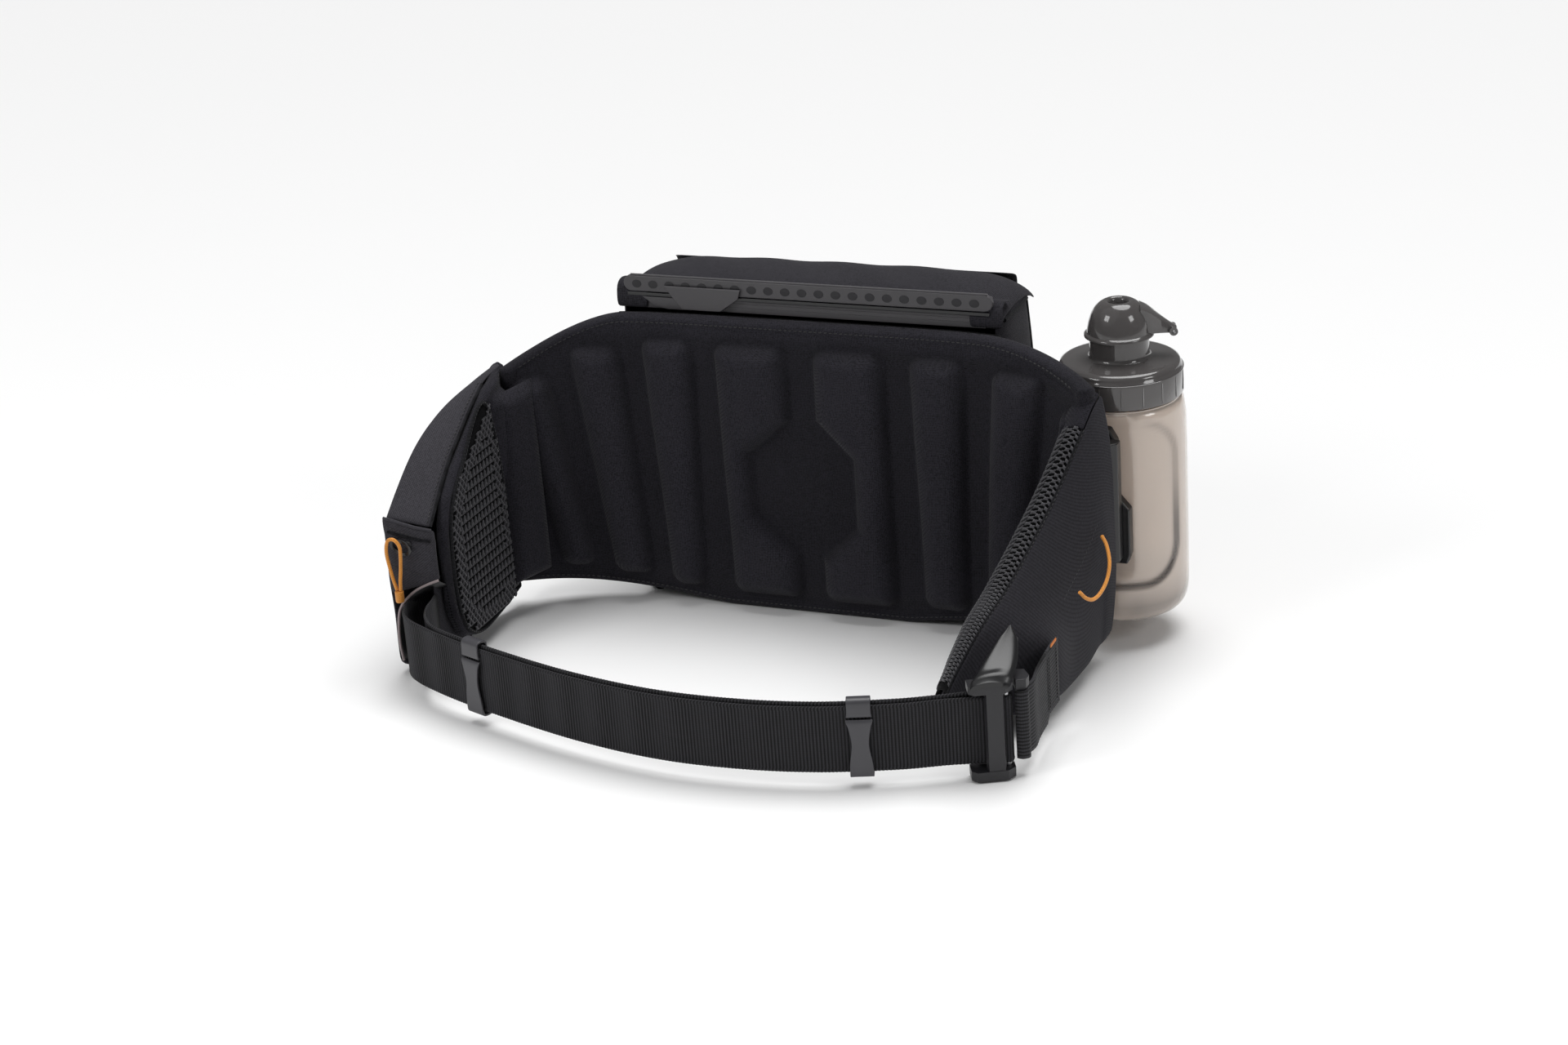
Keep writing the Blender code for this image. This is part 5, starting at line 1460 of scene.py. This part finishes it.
def make_bottle():
    """Squeeze bottle with its sunk panel, rolled foot and neck, as a thin closed shell."""
    segments = 128
    heights = [16, 16.6, 17.4, 19, 21, 24, 28] + list(np.linspace(32, 140, 55)) + [143, 146, 148.5, 150.4]
    points = []
    steps = []
    for z in heights:
        for k in range(segments):
            turn = 2 * math.pi * k / segments - math.pi
            radius, step = bottle_surface(turn, z)
            points.append(BOTTLE + spoke(radius, turn - math.pi / 2, z))
            # Painted shade: a darker band round the rolled foot.
            foot = bell(z, 27, 4.5) * 0.25
            steps.append(min(1.0, step + foot))
    faces = ring_faces(len(heights), segments)
    centre = len(points)
    points.append(BOTTLE + above(18.5))
    steps.append(0.3)
    for k in range(segments):
        faces.append((centre, (k + 1) % segments, k))
    obj = mesh_object("bottle_shell", points, faces)
    attribute = obj.data.attributes.new("step", "FLOAT", "POINT")
    attribute.data.foreach_set("value", np.array(steps, dtype=np.float32))
    wall = obj.modifiers.new("wall", "SOLIDIFY")
    wall.thickness = 1.5 * MM
    wall.offset = -1.0
    finish_piece(obj, "bottle", "bottle", ("bottle_body",), 60)
    profile = [(33.8, 146.5), (34.6, 147.2), (34.6, 149.6), (31.5, 150.2), (31.5, 164), (29.9, 164),
               (29.9, 146.5)]
    neck = turned("bottle_neck", profile, BOTTLE)
    finish_piece(outward(neck), "bottle", "bottle")


def make_cap():
    """Screw cap with its grip lines, neck and drinking spout."""
    profile = [(0, 168.4), (16.6, 168.4), (34.6, 168.4), (34.6, 150.8), (36.0, 150.8), (36.5, 151.4),
               (36.5, 165.2), (36.1, 166.6), (35.4, 167.2), (35.2, 168.4), (34.4, 170.0), (32.6, 170.9),
               (30, 171.2), (20, 172.0), (18.6, 172.4), (17.6, 173.4), (17.3, 175), (17.2, 184.4), (16.2, 184.8),
               (0, 184.8)]
    cap = turned("cap_shell", profile, BOTTLE, 96)
    finish_piece(outward(cap), "smoke", "cap", ("bottle_cap",), 40)
    parts = []
    for k in range(18):
        turn = 2 * math.pi * k / 18 + 0.12
        foot = BOTTLE + spoke(36.6, turn, 151.6)
        parts.append(capsule(foot, foot + above(13.4), 0.32, 5))
    ring = [BOTTLE + spoke(36.55, 2 * math.pi * k / 72, 165.6) for k in range(73)]
    finish_piece(gather("cap_grip_lines", parts), "smoke", "cap")
    tube("cap_grip_ring", ring, 0.3, "smoke", "cap", sides=6)


def make_lid():
    """Flip lid: a dome with a hole, its lip, and the arm that slopes down to the hinge."""
    profile = [(5.2, 199.6), (5.4, 203.8), (6.1, 205.3), (7.2, 205.9), (8.8, 205.7), (11.0, 204.6),
               (13.6, 202.2), (15.8, 198.6), (17.4, 194.0), (18.3, 190.0), (18.6, 187.6), (19.6, 187.0),
               (20.3, 186.4), (20.3, 185.3), (17.9, 185.3), (16.6, 190.0), (14.8, 196.0), (12.4, 200.2),
               (9.0, 202.4), (6.6, 201.6)]
    dome = outward(turned("lid_dome", profile + profile[:1], BOTTLE, 96))
    finish_piece(dome, "smoke", "lid", ("flip_lid",), 50)
    angle = math.radians(20.0)
    along = spoke(1, angle, 0)
    across = Vector((-math.sin(angle), math.cos(angle), 0))
    slope = ((12.0, 203.6), (17.0, 201.0), (23.5, 195.6), (29.5, 190.9), (33.0, 188.4))
    upper = even_path([(x, z, 0) for x, z in slope], 1.0)
    front = []
    back = []
    for i, p in enumerate(upper):
        f = i / (len(upper) - 1)
        half = 8.6 - 5.2 * soft_step(f, 0.0, 0.9)
        low = 187.6 - 2.6 * f
        shapes = [(g * half, p.y - 1.4 * abs(g) ** 3) for g in np.linspace(-1, 1, 11)]
        front.append([BOTTLE + along * p.x + across * g + above(z) for g, z in shapes])
        back.append([BOTTLE + along * p.x + across * g + above(low) for g, z in shapes])
    arm = slab_object("lid_arm", front, back)
    finish_piece(arm, "smoke", "lid", (), 50)
    pin = [BOTTLE + along * 31.0 + across * g + above(186.6) for g in np.linspace(-5.2, 5.2, 5)]
    tube("lid_knuckle", pin, 2.5, "smoke", "lid", sides=18)


make_camera()
make_studio()
for solid in REFINED:
    refine(*solid)
make_cords()
make_panel()
make_compartment()
make_outer_pocket()
make_hood()
make_rails()
make_left_pad()
make_left_mesh()
make_left_pocket()
make_left_end()
make_sleeve_rim()
make_right_wing()
make_right_seams()
make_stub()
make_belt()
make_lever()
make_keeper("keeper_left", "left_keeper")
make_keeper("keeper_right", "right_keeper")
make_bottle()
make_cap()
make_lid()
